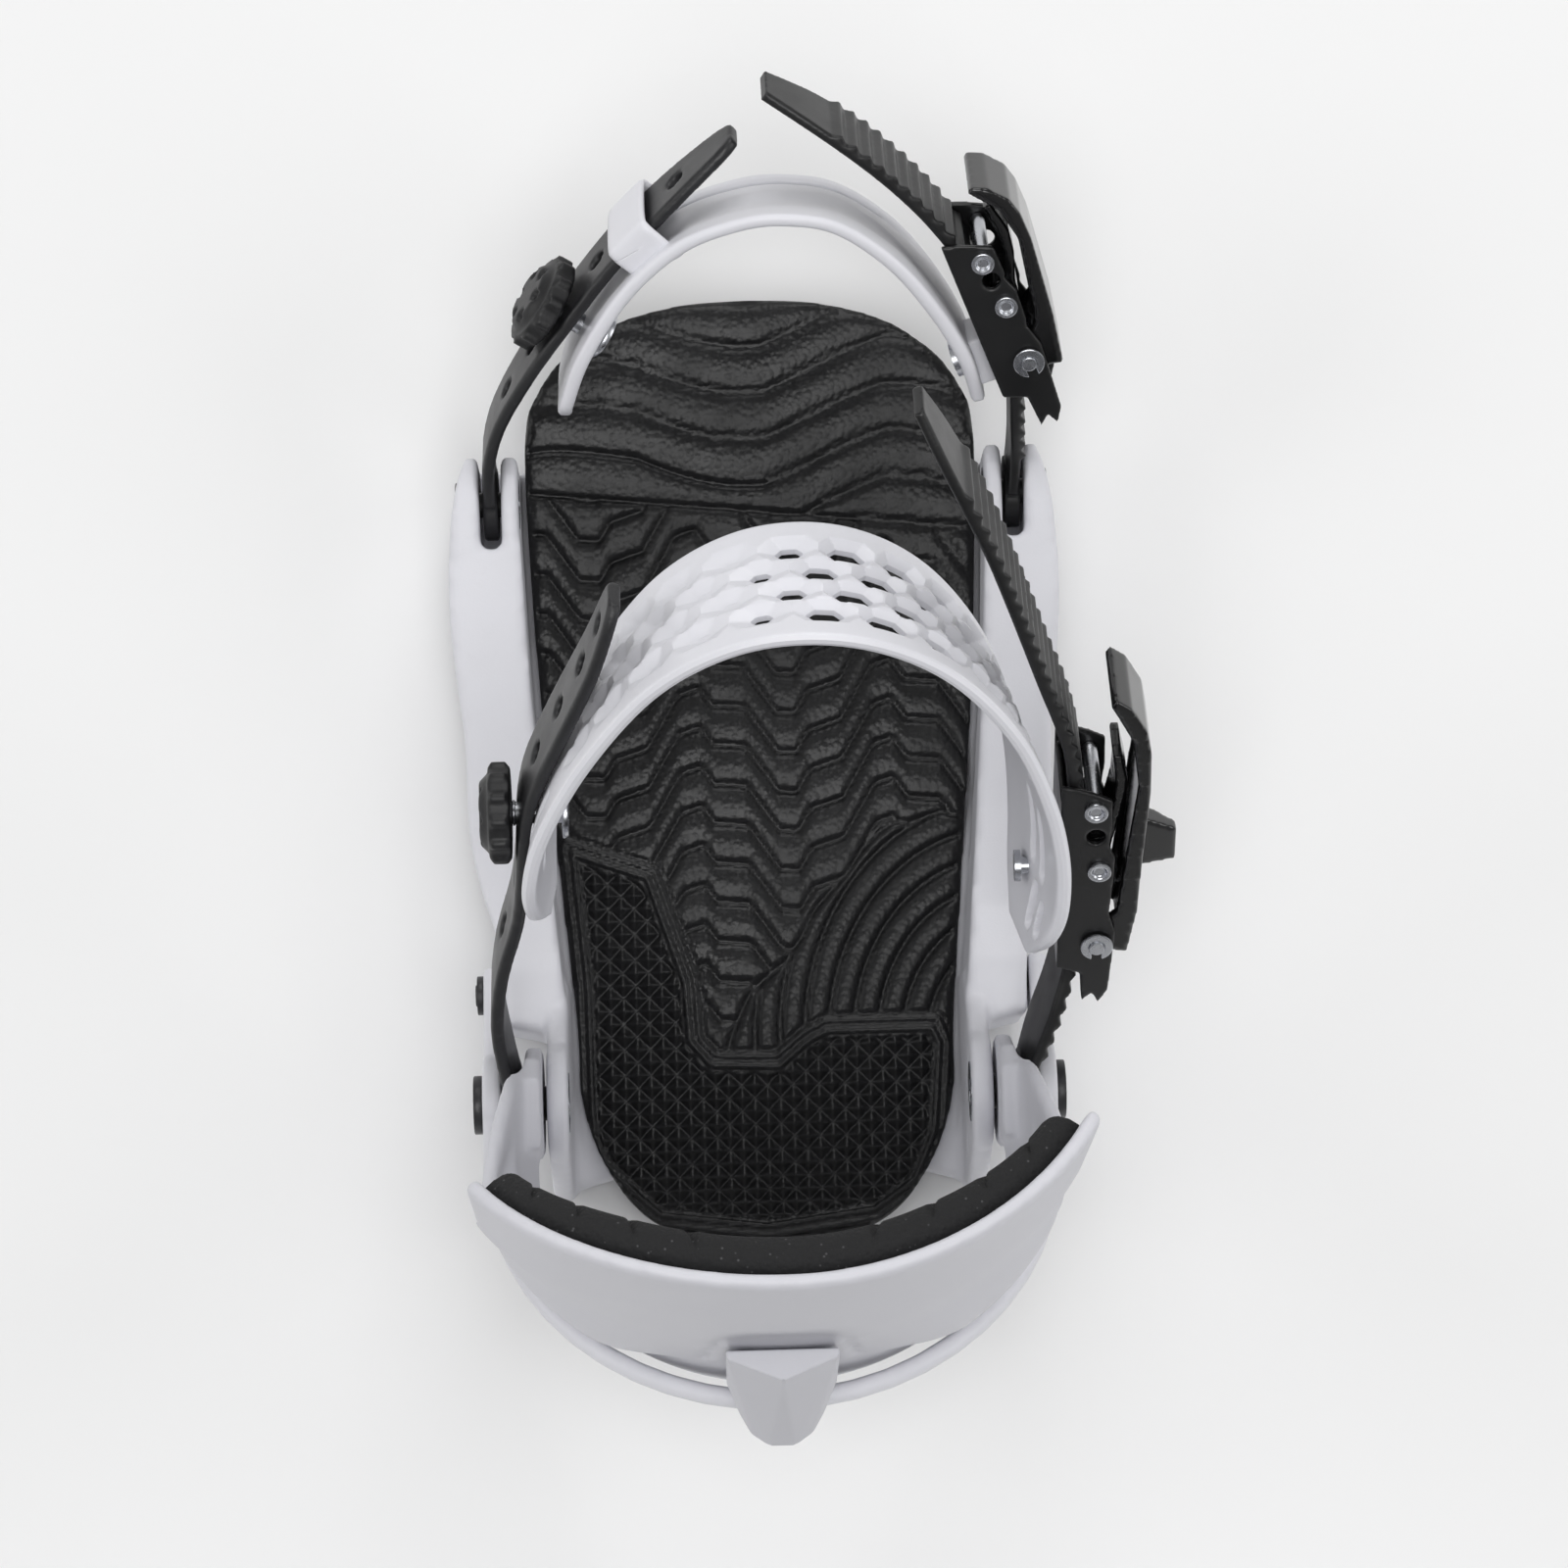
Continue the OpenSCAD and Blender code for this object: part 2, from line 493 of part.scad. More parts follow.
// ---------- knobs ----------
module knob() difference() {
    union() {
        cylinder(r = knob_r, h = 5);
        for (a = [0:30:330]) rotate([0, 0, a]) translate([knob_r - 0.2, 0, 0.6])
            cylinder(r = 1.4, h = 3.8);
        translate([0, 0, 4.5]) cylinder(r1 = knob_r - 1, r2 = knob_r - 3.4, h = 2.5);
    }
    translate([0, 0, -1]) cylinder(r = 2.5 + pin_fit, h = 6);
    for (a = [0:60:300]) rotate([0, 0, a]) translate([6, 0, 5.8]) cylinder(r = 1.5, h = 3);
}
module knob_screw(l) {
    translate([0, 0, -l]) cylinder(r = 2.5, h = l + 4.6);
    translate([0, 0, -l - 1.4]) cylinder(r = 6, h = 1.4);
    translate([0, 0, -0.9]) cylinder(r = 2.9, h = 0.5);
}
module ankle_knob_at() ankle_frame_at() translate([-56.6, 9, 82]) rotate([0, -90, 0]) children();
module toe_knob_axis() translate([-45.6, -2, 53.8]) rotate([0, -56, 0]) children();
module toe_knob_at() toe_frame_at() toe_knob_axis() children();
module ankle_knob() color(black) ankle_knob_at() knob();
module ankle_knob_screw() color(steel) ankle_knob_at() knob_screw(11.4);
module toe_knob() color(black) toe_knob_at() knob();
module toe_knob_screw() color(steel) toe_knob_at() knob_screw(12.9);

// ---------- buckles ----------
// Local x points away from the boot, z along the ladder towards its free end,
// and the lever's axle lies on the origin along y. g is the gap to the pawl
// axle and k the gap to the end rivet.
half_in = ladder_w / 2 + 0.2;
module plate(g, k) difference() {
    linear_extrude(height = plate_t, center = true) polygon([[-8.9, -7], [-3.6, -9],
        [-3.0, -17.5], [-0.6, -15.2], [0.8, -18.2], [3, -14.5], [3.6, -6], [4.2, 3], [2.6, 9],
        [3.2, g - 5], [3.6, g + 3], [2, g + 7], [2.6, k - 5], [2.4, k + 2.6], [-1, k + 4.4],
        [-5, k + 6], [-8.9, k + 7]]);
    for (z = [0, g]) translate([0, z]) cylinder(r = axle_r, h = 9, center = true);
    translate([-1.2, k]) cylinder(r = axle_r, h = 9, center = true);
    translate([-1, (g + k) / 2 + 1]) cylinder(r = 2.1, h = 9, center = true);
}
module buckle_frame(g, k, m) {
    for (s = [-1, 1]) translate([0, s * (half_in + plate_t / 2), 0]) rotate([90, 0, 0])
        plate(g, k);
    difference() {
        translate([-8.9, -half_in - plate_t, -7]) cube([1.3, 2 * (half_in + plate_t), k + 9]);
        translate([-9, 0, m]) rod_x(2, 6);
    }
}
lever_back = function (s) [[-1.6, -2.6], [2, -3.4], [7.2, -4.5], [9.2, 8], [9.7, 20 * s],
    [11.1, 43 * s], [10.9, 54 * s], [9.8, 60.5 * s], [6, 67.5 * s], [2.6, 70 * s],
    [1.4, 68.4 * s], [6.6, 58 * s]];
module lever(s, w) difference() {
    union() {
        rotate([90, 0, 0]) linear_extrude(height = w, center = true) polygon(concat(
            lever_back(s), [[8.2, 45 * s], [6.6, 30 * s], [5.4, 18 * s], [4.4, 8], [-1.6, 2.8]]));
        rod_y(3.2, w);
    }
    rod_y(axle_r + pin_fit, w + 2);
    // hollow between the two flanges
    rotate([90, 0, 0]) linear_extrude(height = w - 4, center = true) polygon(
        [[4.9, -6], [6.2, 4], [7.2, 20 * s], [8.7, 43 * s], [7.8, 56 * s], [4, 62 * s],
         [-6, 40 * s], [-6, -6]]);
}
module pawl(g, k, w) difference() {
    union() {
        rotate([90, 0, 0]) linear_extrude(height = w, center = true) polygon([[-3.2, g - 8.4],
            [-1.2, g - 8.6], [3, g - 2], [3.2, g + 1], [5.6, k - 4], [6.4, k + 2],
            [4.8, k + 9.6], [2.8, k + 9.6], [3.6, k + 2], [3.4, k - 3], [1.4, g + 4],
            [-2.6, g + 2], [-3, g - 3]]);
        translate([0, 0, g]) rod_y(3.2, w);
    }
    translate([0, 0, g]) rod_y(axle_r + pin_fit, w + 2);
}
module axle(l) { rod_y(axle_r, l); translate([0, l / 2 - 0.5, 0]) rod_y(2.7, 1); }
module rivet(l) { axle(l); translate([0, -l / 2 + 0.5, 0]) rod_y(2.7, 1); }
pin_l = 2 * (half_in + plate_t) + 2;
module coil(w) difference() {
    rod_y(3.1, w);
    rod_y(axle_r + 0.3, w + 1);
}
module clip() difference() {
    rod_y(3.7, 0.8);
    rod_y(axle_r, 2);
    translate([0, 0, -3]) cube([2.2, 2, 6], center = true);
}

module ankle_frame() color(black) ankle_buckle_at() buckle_frame(ankle_axle_gap, ankle_rivet_gap,
    14.2);
module ankle_lever() color(black) ankle_buckle_at() {
    lever(1, 2 * half_in - 0.8);
    translate([9.4, 3, 10.5]) hull() {
        cube([1.5, 6, 14]);
        translate([8, 2, 0]) cube([1.5, 3, 9]);
    }
}
module ankle_lever_axle() color(steel) ankle_buckle_at() axle(pin_l + 1.6);
module ankle_pawl() color(black) ankle_buckle_at()
    translate([0, 1.6, 0]) pawl(ankle_axle_gap, ankle_rivet_gap, 12);
module ankle_pawl_axle() color(steel) ankle_buckle_at()
    translate([0, 0, ankle_axle_gap]) rivet(pin_l);
module ankle_spring() color(steel) ankle_buckle_at()
    translate([0, -6.6, ankle_axle_gap]) coil(3.6);
module ankle_rivet() color(steel) ankle_buckle_at()
    translate([-1.2, 0, ankle_rivet_gap]) rivet(pin_l);
module ankle_clip() color(steel) ankle_buckle_at()
    translate([0, -half_in - plate_t - 0.9, 0]) clip();
module ankle_mount_screw() color(steel) ankle_buckle_at() {
    translate([-12.6, 0, 14.2]) rod_x(2, 9.8);
    translate([-17.5, 0, 14.2]) rod_x(3.6, 1.4);
}

// ---------- toe strap ----------
toe_path = [[-43.4, 29, -10, 6], [-42.8, 34, -15, 11], [-38.3, 47, -18, 14],
    [-28.3, 62.5, -18, 14], [-15.5, 74, -18, 14], [-2, 79.3, -18, 14], [9, 80.3, -18, 14],
    [21, 77.8, -18, 14], [33.5, 68.5, -18, 14], [43.5, 55.5, -17, 13], [50.5, 42, -14, 11],
    [54, 29, -8, 6]];
toe_cone = [0, 0, 0.002, -2];
toe_mid = curve(toe_path, 3);
module toe_strap() color(white) toe_frame_at() difference() {
    union() {
        band(toe_mid, strap_t, toe_cone);
        // foot of the buckle
        toe_buckle_in() translate([-14, -6, -5]) cube([5.05, 12, 12]);
    }
    toe_knob_axis() cylinder(r = 2.5, h = 40, center = true);
    for (i = [11, 13, 19, 21]) cell(toe_mid, i, 7, 2.4);
    toe_buckle_in() translate([-14, 0, 1]) rod_x(2, 20);
}
toe_connector_path = [[-62.2, 4, -9, 9], [-62.2, 14, -9, 9], [-59, 26, -10, 8], [-51, 41, -12, 8],
    [-42.6, 53, -12, 8], [-31.5, 68, -12, 8], [-18, 82.5, -11, 7], [-6, 94, -8.5, 4.5],
    [-2.2, 97.4, -6, 2]];
module toe_connector() color(slate) toe_frame_at() difference() {
    union() {
        band(curve(toe_connector_path, 3), connector_t);
        translate([-62.2, 0, 0]) rod_x(8.6, eye_t);
    }
    translate([-62.2, 0, 0]) rod_x(toe_r + pin_fit, eye_t + 4);
    toe_knob_axis() cylinder(r = 2.6, h = 30, center = true);
    for (q = [[-56, 32], [-49.4, 43], [-34, 65], [-25, 76], [-15, 85]])
        translate([q[0], -2, q[1]]) rotate([0, -50, 0]) cylinder(r = 2.5, h = 30, center = true);
}
module toe_ladder() color(black) toe_frame_at() difference() {
    union() {
        ladder(flip([[62.2, 4, -9, 9], [62.8, 13, -9, 9], [62.6, 23, -11, 8],
            [61.9, 34.2, -12, 8], [57.72, 45.6, -12, 8], [53.58, 56.8, -12, 8],
            [49.4, 68, -12, 8], [42.4, 78.2, -12, 8], [34.4, 87, -12, 8], [25.6, 95, -12, 8],
            [15.8, 102.4, -11, 7], [4.5, 109.6, -8, 4]]), 6, 7);
        translate([62.2, 0, 0]) rod_x(8.6, eye_t);
    }
    translate([62.2, 0, 0]) rod_x(toe_r + pin_fit, eye_t + 14);
}
module toe_frame() color(black) toe_buckle_at() buckle_frame(toe_axle_gap, toe_rivet_gap, 1);
module toe_lever() color(black) toe_buckle_at() lever(0.66, 2 * half_in - 0.8);
module toe_lever_axle() color(steel) toe_buckle_at() axle(pin_l + 1.6);
module toe_pawl() color(black) toe_buckle_at()
    translate([0, 1.6, 0]) pawl(toe_axle_gap, toe_rivet_gap, 12);
module toe_pawl_axle() color(steel) toe_buckle_at() translate([0, 0, toe_axle_gap]) rivet(pin_l);
module toe_spring() color(steel) toe_buckle_at()
    translate([0, -6.6, toe_axle_gap]) coil(3.6);
module toe_rivet() color(steel) toe_buckle_at() translate([-1.2, 0, toe_rivet_gap]) rivet(pin_l);
module toe_clip() color(steel) toe_buckle_at()
    translate([0, -half_in - plate_t - 0.9, 0]) clip();
module toe_mount_screw() color(steel) toe_buckle_at() {
    translate([-11.95, 0, 1]) rod_x(2, 8.6);
    translate([-16.9, 0, 1]) rod_x(4.5, 1.4);
}
module toe_bolts() color(black) both() {
    translate([62.4, toe_y, toe_z]) rod_x(toe_r, 11.8);
    translate([69.5, toe_y, toe_z]) difference() {
        rod_x(5.5, 2.4);
        rotate([0, 90, 0]) cylinder(r = 2.2, h = 4, $fn = 6);
    }
}
module toe_nuts() color(steel) both() translate([56.5, toe_y, toe_z]) difference() {
    rod_x(6, 2);
    rod_x(toe_r, 3);
}

base_chassis();
base_pads();
mounting_disc();
footbed();
footbed_pin();
heel_hoop();
hoop_screws();
pivot_bolts();
pivot_nuts();
highback();
highback_pad();
lean_block();
lean_screw();
ankle_strap();
ankle_connector();
ankle_ladder();
ankle_knob();
ankle_knob_screw();
ankle_frame();
ankle_lever();
ankle_lever_axle();
ankle_pawl();
ankle_pawl_axle();
ankle_spring();
ankle_rivet();
ankle_clip();
ankle_mount_screw();
toe_strap();
toe_connector();
toe_ladder();
toe_knob();
toe_knob_screw();
toe_frame();
toe_lever();
toe_lever_axle();
toe_pawl();
toe_pawl_axle();
toe_spring();
toe_rivet();
toe_clip();
toe_mount_screw();
toe_bolts();
toe_nuts();
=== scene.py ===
import bpy, bmesh, json, math
from mathutils import Vector, Matrix


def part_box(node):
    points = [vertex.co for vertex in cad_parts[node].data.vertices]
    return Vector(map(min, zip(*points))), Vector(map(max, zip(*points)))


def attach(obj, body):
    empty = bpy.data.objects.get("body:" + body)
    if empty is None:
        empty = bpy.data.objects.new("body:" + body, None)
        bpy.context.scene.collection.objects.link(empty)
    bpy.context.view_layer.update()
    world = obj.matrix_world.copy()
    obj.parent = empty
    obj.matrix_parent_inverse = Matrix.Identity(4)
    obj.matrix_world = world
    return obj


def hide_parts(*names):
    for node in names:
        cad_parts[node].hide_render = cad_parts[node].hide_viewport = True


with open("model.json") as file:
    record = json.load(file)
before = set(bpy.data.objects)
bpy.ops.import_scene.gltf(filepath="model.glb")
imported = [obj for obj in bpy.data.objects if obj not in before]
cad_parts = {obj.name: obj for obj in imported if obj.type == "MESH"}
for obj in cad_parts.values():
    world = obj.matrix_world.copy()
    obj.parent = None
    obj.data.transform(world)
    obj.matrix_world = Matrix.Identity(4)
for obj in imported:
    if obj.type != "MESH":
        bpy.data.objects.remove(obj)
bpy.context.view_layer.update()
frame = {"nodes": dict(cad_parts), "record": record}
nodes = frame["nodes"]
body_of = {n: b for b, members in frame["record"]["behaviour"]["bodies"].items() for n in members}
slot_of = {s["node"]: s["material_slot"] for s in frame["record"]["subparts"]}
MM = 0.001


# ---------- materials ----------
def srgb(code):
    """A hex colour such as e6e6ea as linear RGBA."""
    out = []
    for i in (0, 2, 4):
        c = int(code[i:i + 2], 16) / 255
        out.append(c / 12.92 if c <= 0.04045 else ((c + 0.055) / 1.055) ** 2.4)
    return (*out, 1.0)


def add(mat, kind, values={}, links={}, **props):
    """Adds a node with its properties, socket values and incoming links."""
    node = mat.node_tree.nodes.new(kind)
    for key, value in props.items():
        setattr(node, key, value)
    for key, value in values.items():
        node.inputs[key].default_value = value
    for key, source in links.items():
        mat.node_tree.links.new(source, node.inputs[key])
    return node


def new_material(name):
    mat = bpy.data.materials.new(name)
    mat.use_nodes = True
    mat.node_tree.nodes.clear()
    return mat


def moulding(name, light, dark, rough, spread, grain_mm, grain_depth, blotch_mm=24, ior=1.5,
             coat=0.0, metallic=0.0, scuff=None, pebble=None, scratch=0.0, painted_glint=None):
    """Moulded or coated surface: slow drift of colour and gloss, tool grain, thin scratches.
    scuff is a paler hex worn into scattered patches, pebble is (size mm, depth mm) of a
    leather-like grain, and the pale hex given last is painted in tiny specks as painted
    highlights where light catches open foam cells."""
    mat = new_material(name)
    place = add(mat, "ShaderNodeTexCoord").outputs["Object"]
    slow = add(mat, "ShaderNodeTexNoise", {"Scale": 1000 / blotch_mm, "Detail": 5.0,
               "Roughness": 0.6}, {"Vector": place}).outputs["Fac"]
    fine = add(mat, "ShaderNodeTexNoise", {"Scale": 1000 / grain_mm, "Detail": 3.0,
               "Roughness": 0.6}, {"Vector": place}).outputs["Fac"]
    colour = add(mat, "ShaderNodeMix", {"A": srgb(dark), "B": srgb(light)}, {"Factor": slow},
                 data_type="RGBA").outputs["Result"]
    if scuff:
        rub = add(mat, "ShaderNodeTexNoise", {"Scale": 150.0, "Detail": 6.0, "Roughness": 0.75,
                  "Distortion": 1.2}, {"Vector": place}).outputs["Fac"]
        worn = add(mat, "ShaderNodeMapRange", {"From Min": 0.58, "From Max": 0.78, "To Min": 0.0,
                   "To Max": 0.35}, {"Value": rub}).outputs[0]
        colour = add(mat, "ShaderNodeMix", {"B": srgb(scuff)}, {"Factor": worn, "A": colour},
                     data_type="RGBA").outputs["Result"]
    # pale specks painted into the colour: painted highlights where light catches open foam cells
    if painted_glint:
        speck = add(mat, "ShaderNodeTexVoronoi", {"Scale": 520.0}, {"Vector": place})
        dot = add(mat, "ShaderNodeMapRange", {"From Min": 0.16, "From Max": 0.04, "To Min": 0.0,
                  "To Max": 0.55}, {"Value": speck.outputs["Distance"]}).outputs[0]
        colour = add(mat, "ShaderNodeMix", {"B": srgb(painted_glint)}, {"Factor": dot, "A": colour},
                     data_type="RGBA").outputs["Result"]
    gloss = add(mat, "ShaderNodeMapRange", {"From Min": 0.3, "From Max": 0.7,
                "To Min": rough - spread, "To Max": rough + spread}, {"Value": slow}).outputs[0]
    bump = add(mat, "ShaderNodeBump", {"Strength": 1.0, "Distance": grain_depth * MM},
               {"Height": fine}).outputs[0]
    if pebble:
        cell = add(mat, "ShaderNodeTexVoronoi", {"Scale": 1000 / pebble[0], "Smoothness": 0.6},
                   {"Vector": place}, feature="SMOOTH_F1").outputs["Distance"]
        bump = add(mat, "ShaderNodeBump", {"Strength": 1.0, "Distance": pebble[1] * MM},
                   {"Height": cell, "Normal": bump}, invert=True).outputs[0]
    if scratch:
        wave = add(mat, "ShaderNodeTexNoise", {"Scale": 45.0, "Detail": 1.0, "Distortion": 0.6},
                   {"Vector": place}).outputs["Fac"]
        gap = add(mat, "ShaderNodeMath", {1: 0.5}, {0: wave}, operation="SUBTRACT").outputs[0]
        thin = add(mat, "ShaderNodeMath", {}, {0: gap}, operation="ABSOLUTE").outputs[0]
        line = add(mat, "ShaderNodeMapRange", {"From Min": 0.0, "From Max": 0.0015,
                   "To Min": 0.0, "To Max": 1.0}, {"Value": thin}).outputs[0]
        bump = add(mat, "ShaderNodeBump", {"Strength": 1.0, "Distance": scratch * MM},
                   {"Height": line, "Normal": bump}).outputs[0]
    skin = add(mat, "ShaderNodeBsdfPrincipled", {"IOR": ior, "Coat Weight": coat,
               "Coat Roughness": 0.12, "Metallic": metallic},
               {"Base Color": colour, "Roughness": gloss, "Normal": bump})
    add(mat, "ShaderNodeOutputMaterial", {}, {"Surface": skin.outputs[0]})
    return mat


# Glass filled nylon from an etched mould: slightly cool white, an even satin with fine grain
base_nylon = moulding("glass_filled_nylon_white", "dfdfe4", "d8d8de", 0.46, 0.07, 0.5, 0.03,
                      scuff="d3d3d8", scratch=0.01)
# Softer strap plastic from a smoother mould: clean white with a broad soft shine
strap_tpu = moulding("moulded_tpu_white", "e4e4e9", "dddde3", 0.38, 0.06, 0.5, 0.015)
hoop_nylon = moulding("satin_nylon_white", "dcdce1", "d5d5db", 0.4, 0.06, 0.5, 0.02,
                      scuff="cfcfd5")
back_nylon = moulding("textured_nylon_white", "d2d2d8", "cacad0", 0.5, 0.06, 0.6, 0.035,
                      scuff="c4c4ca", scratch=0.01)
lever_block = moulding("moulded_nylon_pale_grey", "c9c9cf", "c0c0c6", 0.48, 0.05, 0.5, 0.02)
# Sliced foam: open cells catch the light as a speckle, painted into its colour as pale highlight
# specks, no shine
cell_foam = moulding("open_cell_foam_black", "222223", "141415", 0.92, 0.04, 0.9, 0.25,
                     blotch_mm=9, pebble=(1.1, 0.35), painted_glint="6a6a6c")
pad_foam = moulding("closed_cell_foam_black", "1d1d1e", "141415", 0.85, 0.05, 0.9, 0.1,
                    pebble=(1.4, 0.12))
# Compression moulded EVA with a leather grain and a faint sheen on its raised parts
bed_eva = moulding("leather_grain_eva_black", "151516", "0c0c0d", 0.36, 0.08, 0.5, 0.03,
                   pebble=(1.3, 0.14), ior=1.4)
disc_nylon = moulding("moulded_nylon_black", "232324", "1a1a1b", 0.5, 0.06, 0.6, 0.03,
                      scuff="343436")
connector_tpu = moulding("moulded_tpu_dark_grey", "242426", "1b1b1d", 0.42, 0.08, 0.5, 0.03,
                         scuff="4a4a4d")
ladder_nylon = moulding("toothed_nylon_black", "161617", "0e0e0f", 0.4, 0.08, 0.5, 0.02,
                        scuff="303032")
# Black anodised sheet: thin even satin with a cool metal edge
frame_black = moulding("anodised_aluminium_black", "161617", "0e0e0f", 0.34, 0.07, 0.4, 0.012,
                       scuff="2c2c2e", scratch=0.01)
# Polished mould: deep black, sharp highlights broken by fine handling marks
lever_gloss = moulding("glossy_nylon_black", "121213", "0b0b0c", 0.2, 0.06, 0.8, 0.006,
                       coat=0.35, scratch=0.008)
knob_nylon = moulding("grained_nylon_black", "18181a", "0f0f10", 0.5, 0.07, 0.5, 0.05,
                      scuff="363638")
zinc_steel = moulding("zinc_plated_steel", "cfd1d5", "a9abb1", 0.26, 0.07, 0.5, 0.008,
                      blotch_mm=6, metallic=1.0, scratch=0.01)
black_steel = moulding("black_oxide_steel", "2e2e30", "202022", 0.38, 0.07, 0.5, 0.012,
                       blotch_mm=6, scuff="55555a")
finish = {"base_nylon": base_nylon, "strap_tpu": strap_tpu, "hoop_nylon": hoop_nylon,
          "highback_nylon": back_nylon, "highback_foam": cell_foam, "footbed_eva": bed_eva,
          "base_foam": pad_foam, "disc_nylon": disc_nylon, "connector_tpu": connector_tpu,
          "ladder_nylon": ladder_nylon, "buckle_frame": frame_black, "buckle_lever": lever_gloss,
          "knob_nylon": knob_nylon, "steel": zinc_steel, "black_steel": black_steel}
for name, obj in nodes.items():
    obj.data.materials.clear()
    obj.data.materials.append(finish[slot_of[name]])


# ---------- mesh helpers ----------
def piece(name, bm, node, *also, mat=None, flat=False, crisp=0):
    """Turns a finished mesh into the object that stands for a CAD node."""
    mesh = bpy.data.meshes.new(name)
    bm.to_mesh(mesh)
    bm.free()
    mesh.materials.append(mat or finish[slot_of[node]])
    if not flat:
        mesh.shade_smooth()
    if crisp:
        mesh.set_sharp_from_angle(angle=math.radians(crisp))
    obj = bpy.data.objects.new(name, mesh)
    bpy.context.scene.collection.objects.link(obj)
    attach(obj, body_of[node])
    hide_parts(node, *also)
    return obj


def merged(node):
    bm = bmesh.new()
    bm.from_mesh(nodes[node].data)
    bmesh.ops.remove_doubles(bm, verts=bm.verts, dist=2e-6)
    return bm


def even_skin(bm, cell_mm, passes):
    """One closed skin of even cells over everything in bm, its edges eased like a moulding's."""
    mesh = bpy.data.meshes.new("rough_shape")
    bm.to_mesh(mesh)
    bm.free()
    obj = bpy.data.objects.new("rough_shape", mesh)
    bpy.context.scene.collection.objects.link(obj)
    skin = obj.modifiers.new("skin", "REMESH")
    skin.mode = "VOXEL"
    skin.voxel_size = cell_mm * MM
    ready = bpy.data.meshes.new_from_object(
        obj.evaluated_get(bpy.context.evaluated_depsgraph_get()))
    bpy.data.objects.remove(obj)
    out = bmesh.new()
    out.from_mesh(ready)
    ease(out, out.verts, passes)
    return out


def ease(bm, verts, passes):
    for _ in range(passes):
        bmesh.ops.smooth_vert(bm, verts=list(verts), factor=0.5, use_axis_x=True,
                              use_axis_y=True, use_axis_z=True)


def press(bm, depth):
    """Moves each point against its normal by depth(point, normal) in mm, both in mm."""
    bm.normal_update()
    moves = [(v, v.normal * depth(v.co / MM, v.normal) * MM) for v in bm.verts]
    for v, step in moves:
        v.co -= step


def machined(node, width_mm, dimple_mm=0.0, rise_mm=0.0):
    """A CAD node with its sharp edges bevelled and, on request, a dimple in its round caps."""
    bm = merged(node)
    bmesh.ops.dissolve_limit(bm, angle_limit=math.radians(2), verts=bm.verts, edges=bm.edges)
    bm.normal_update()
    if dimple_mm:
        caps = [f for f in bm.faces if len(f.verts) > 12 and f.calc_area() > 14e-6]
        bmesh.ops.inset_individual(bm, faces=caps, thickness=0.9 * MM, depth=rise_mm * MM)
        bmesh.ops.inset_individual(bm, faces=caps, thickness=0.5 * MM, depth=-dimple_mm * MM)
    sharp = [e for e in bm.edges if len(e.link_faces) == 2
             and e.calc_face_angle(0.0) > math.radians(35)]
    bmesh.ops.bevel(bm, geom=sharp, offset=width_mm * MM, offset_type="OFFSET", affect="EDGES",
                    segments=2, profile=0.5, material=-1, clamp_overlap=True)
    return bm


def mix(a, b, t):
    return a + (b - a) * t


def step01(x):
    x = min(1.0, max(0.0, x))
    return x * x * (3 - 2 * x)


def tri(x):
    """Triangle wave between -1 and 1."""
    return 4 * abs(x - math.floor(x + 0.5)) - 1


def curve(points, n):
    """Smooth curve through the points, n steps between each pair."""
    out, last = [], len(points) - 1
    for i in range(last):
        p, q, r, s = (points[max(i - 1, 0)], points[i], points[i + 1], points[min(i + 2, last)])
        for k in range(n):
            t = k / n
            out.append([0.5 * (2 * b + (c - a) * t + (2 * a - 5 * b + 4 * c - d) * t * t
                               + (3 * b - a - 3 * c + d) * t ** 3)
                        for a, b, c, d in zip(p, q, r, s)])
    return out + [list(points[last])]


class Band:
    """A bent band: along is mm from its lower left end, across and out are mm too."""

    def __init__(self, stations, at, lean, cone=(0, 0, 0, 0)):
        self.rows = curve(stations, 8)
        self.at, self.cone = at, cone
        self.s, self.c = math.sin(math.radians(lean)), math.cos(math.radians(lean))
        self.along = [0.0]
        for a, b in zip(self.rows, self.rows[1:]):
            self.along.append(self.along[-1] + math.hypot(b[0] - a[0], b[1] - a[1]))
        self.length = self.along[-1]

    def row(self, s):
        s = min(max(s, 0.0), self.length)
        low, high = 0, len(self.along) - 1
        while high - low > 1:
            mid = (low + high) // 2
            low, high = (mid, high) if self.along[mid] <= s else (low, mid)
        t = (s - self.along[low]) / (self.along[high] - self.along[low])
        here = [mix(a, b, t) for a, b in zip(self.rows[low], self.rows[high])]
        before, after = self.rows[max(low - 1, 0)], self.rows[min(high + 1, len(self.rows) - 1)]
        slope = Vector((after[0] - before[0], after[1] - before[1])).normalized()
        return here, slope

    def point(self, s, t, out):
        q, slope = self.row(s)
        d, w = self.cone[3] - t, self.cone
        x = 5 + (q[0] - 5) * (1 + d * (w[0] if q[0] < 5 else w[1])) - slope.y * out
        h = q[1] * (1 + d * w[2]) + slope.x * out
        return Vector((x, self.at[0] + h * self.s + t * self.c,
                       self.at[1] + h * self.c - t * self.s)) * MM


def hexagon(ds, dt):
    return max(abs(ds * math.cos(a) + dt * math.sin(a)) for a in (0, math.pi / 3, -math.pi / 3))


def oblong(ds, dt):
    return (ds ** 4 + dt ** 4) ** 0.25


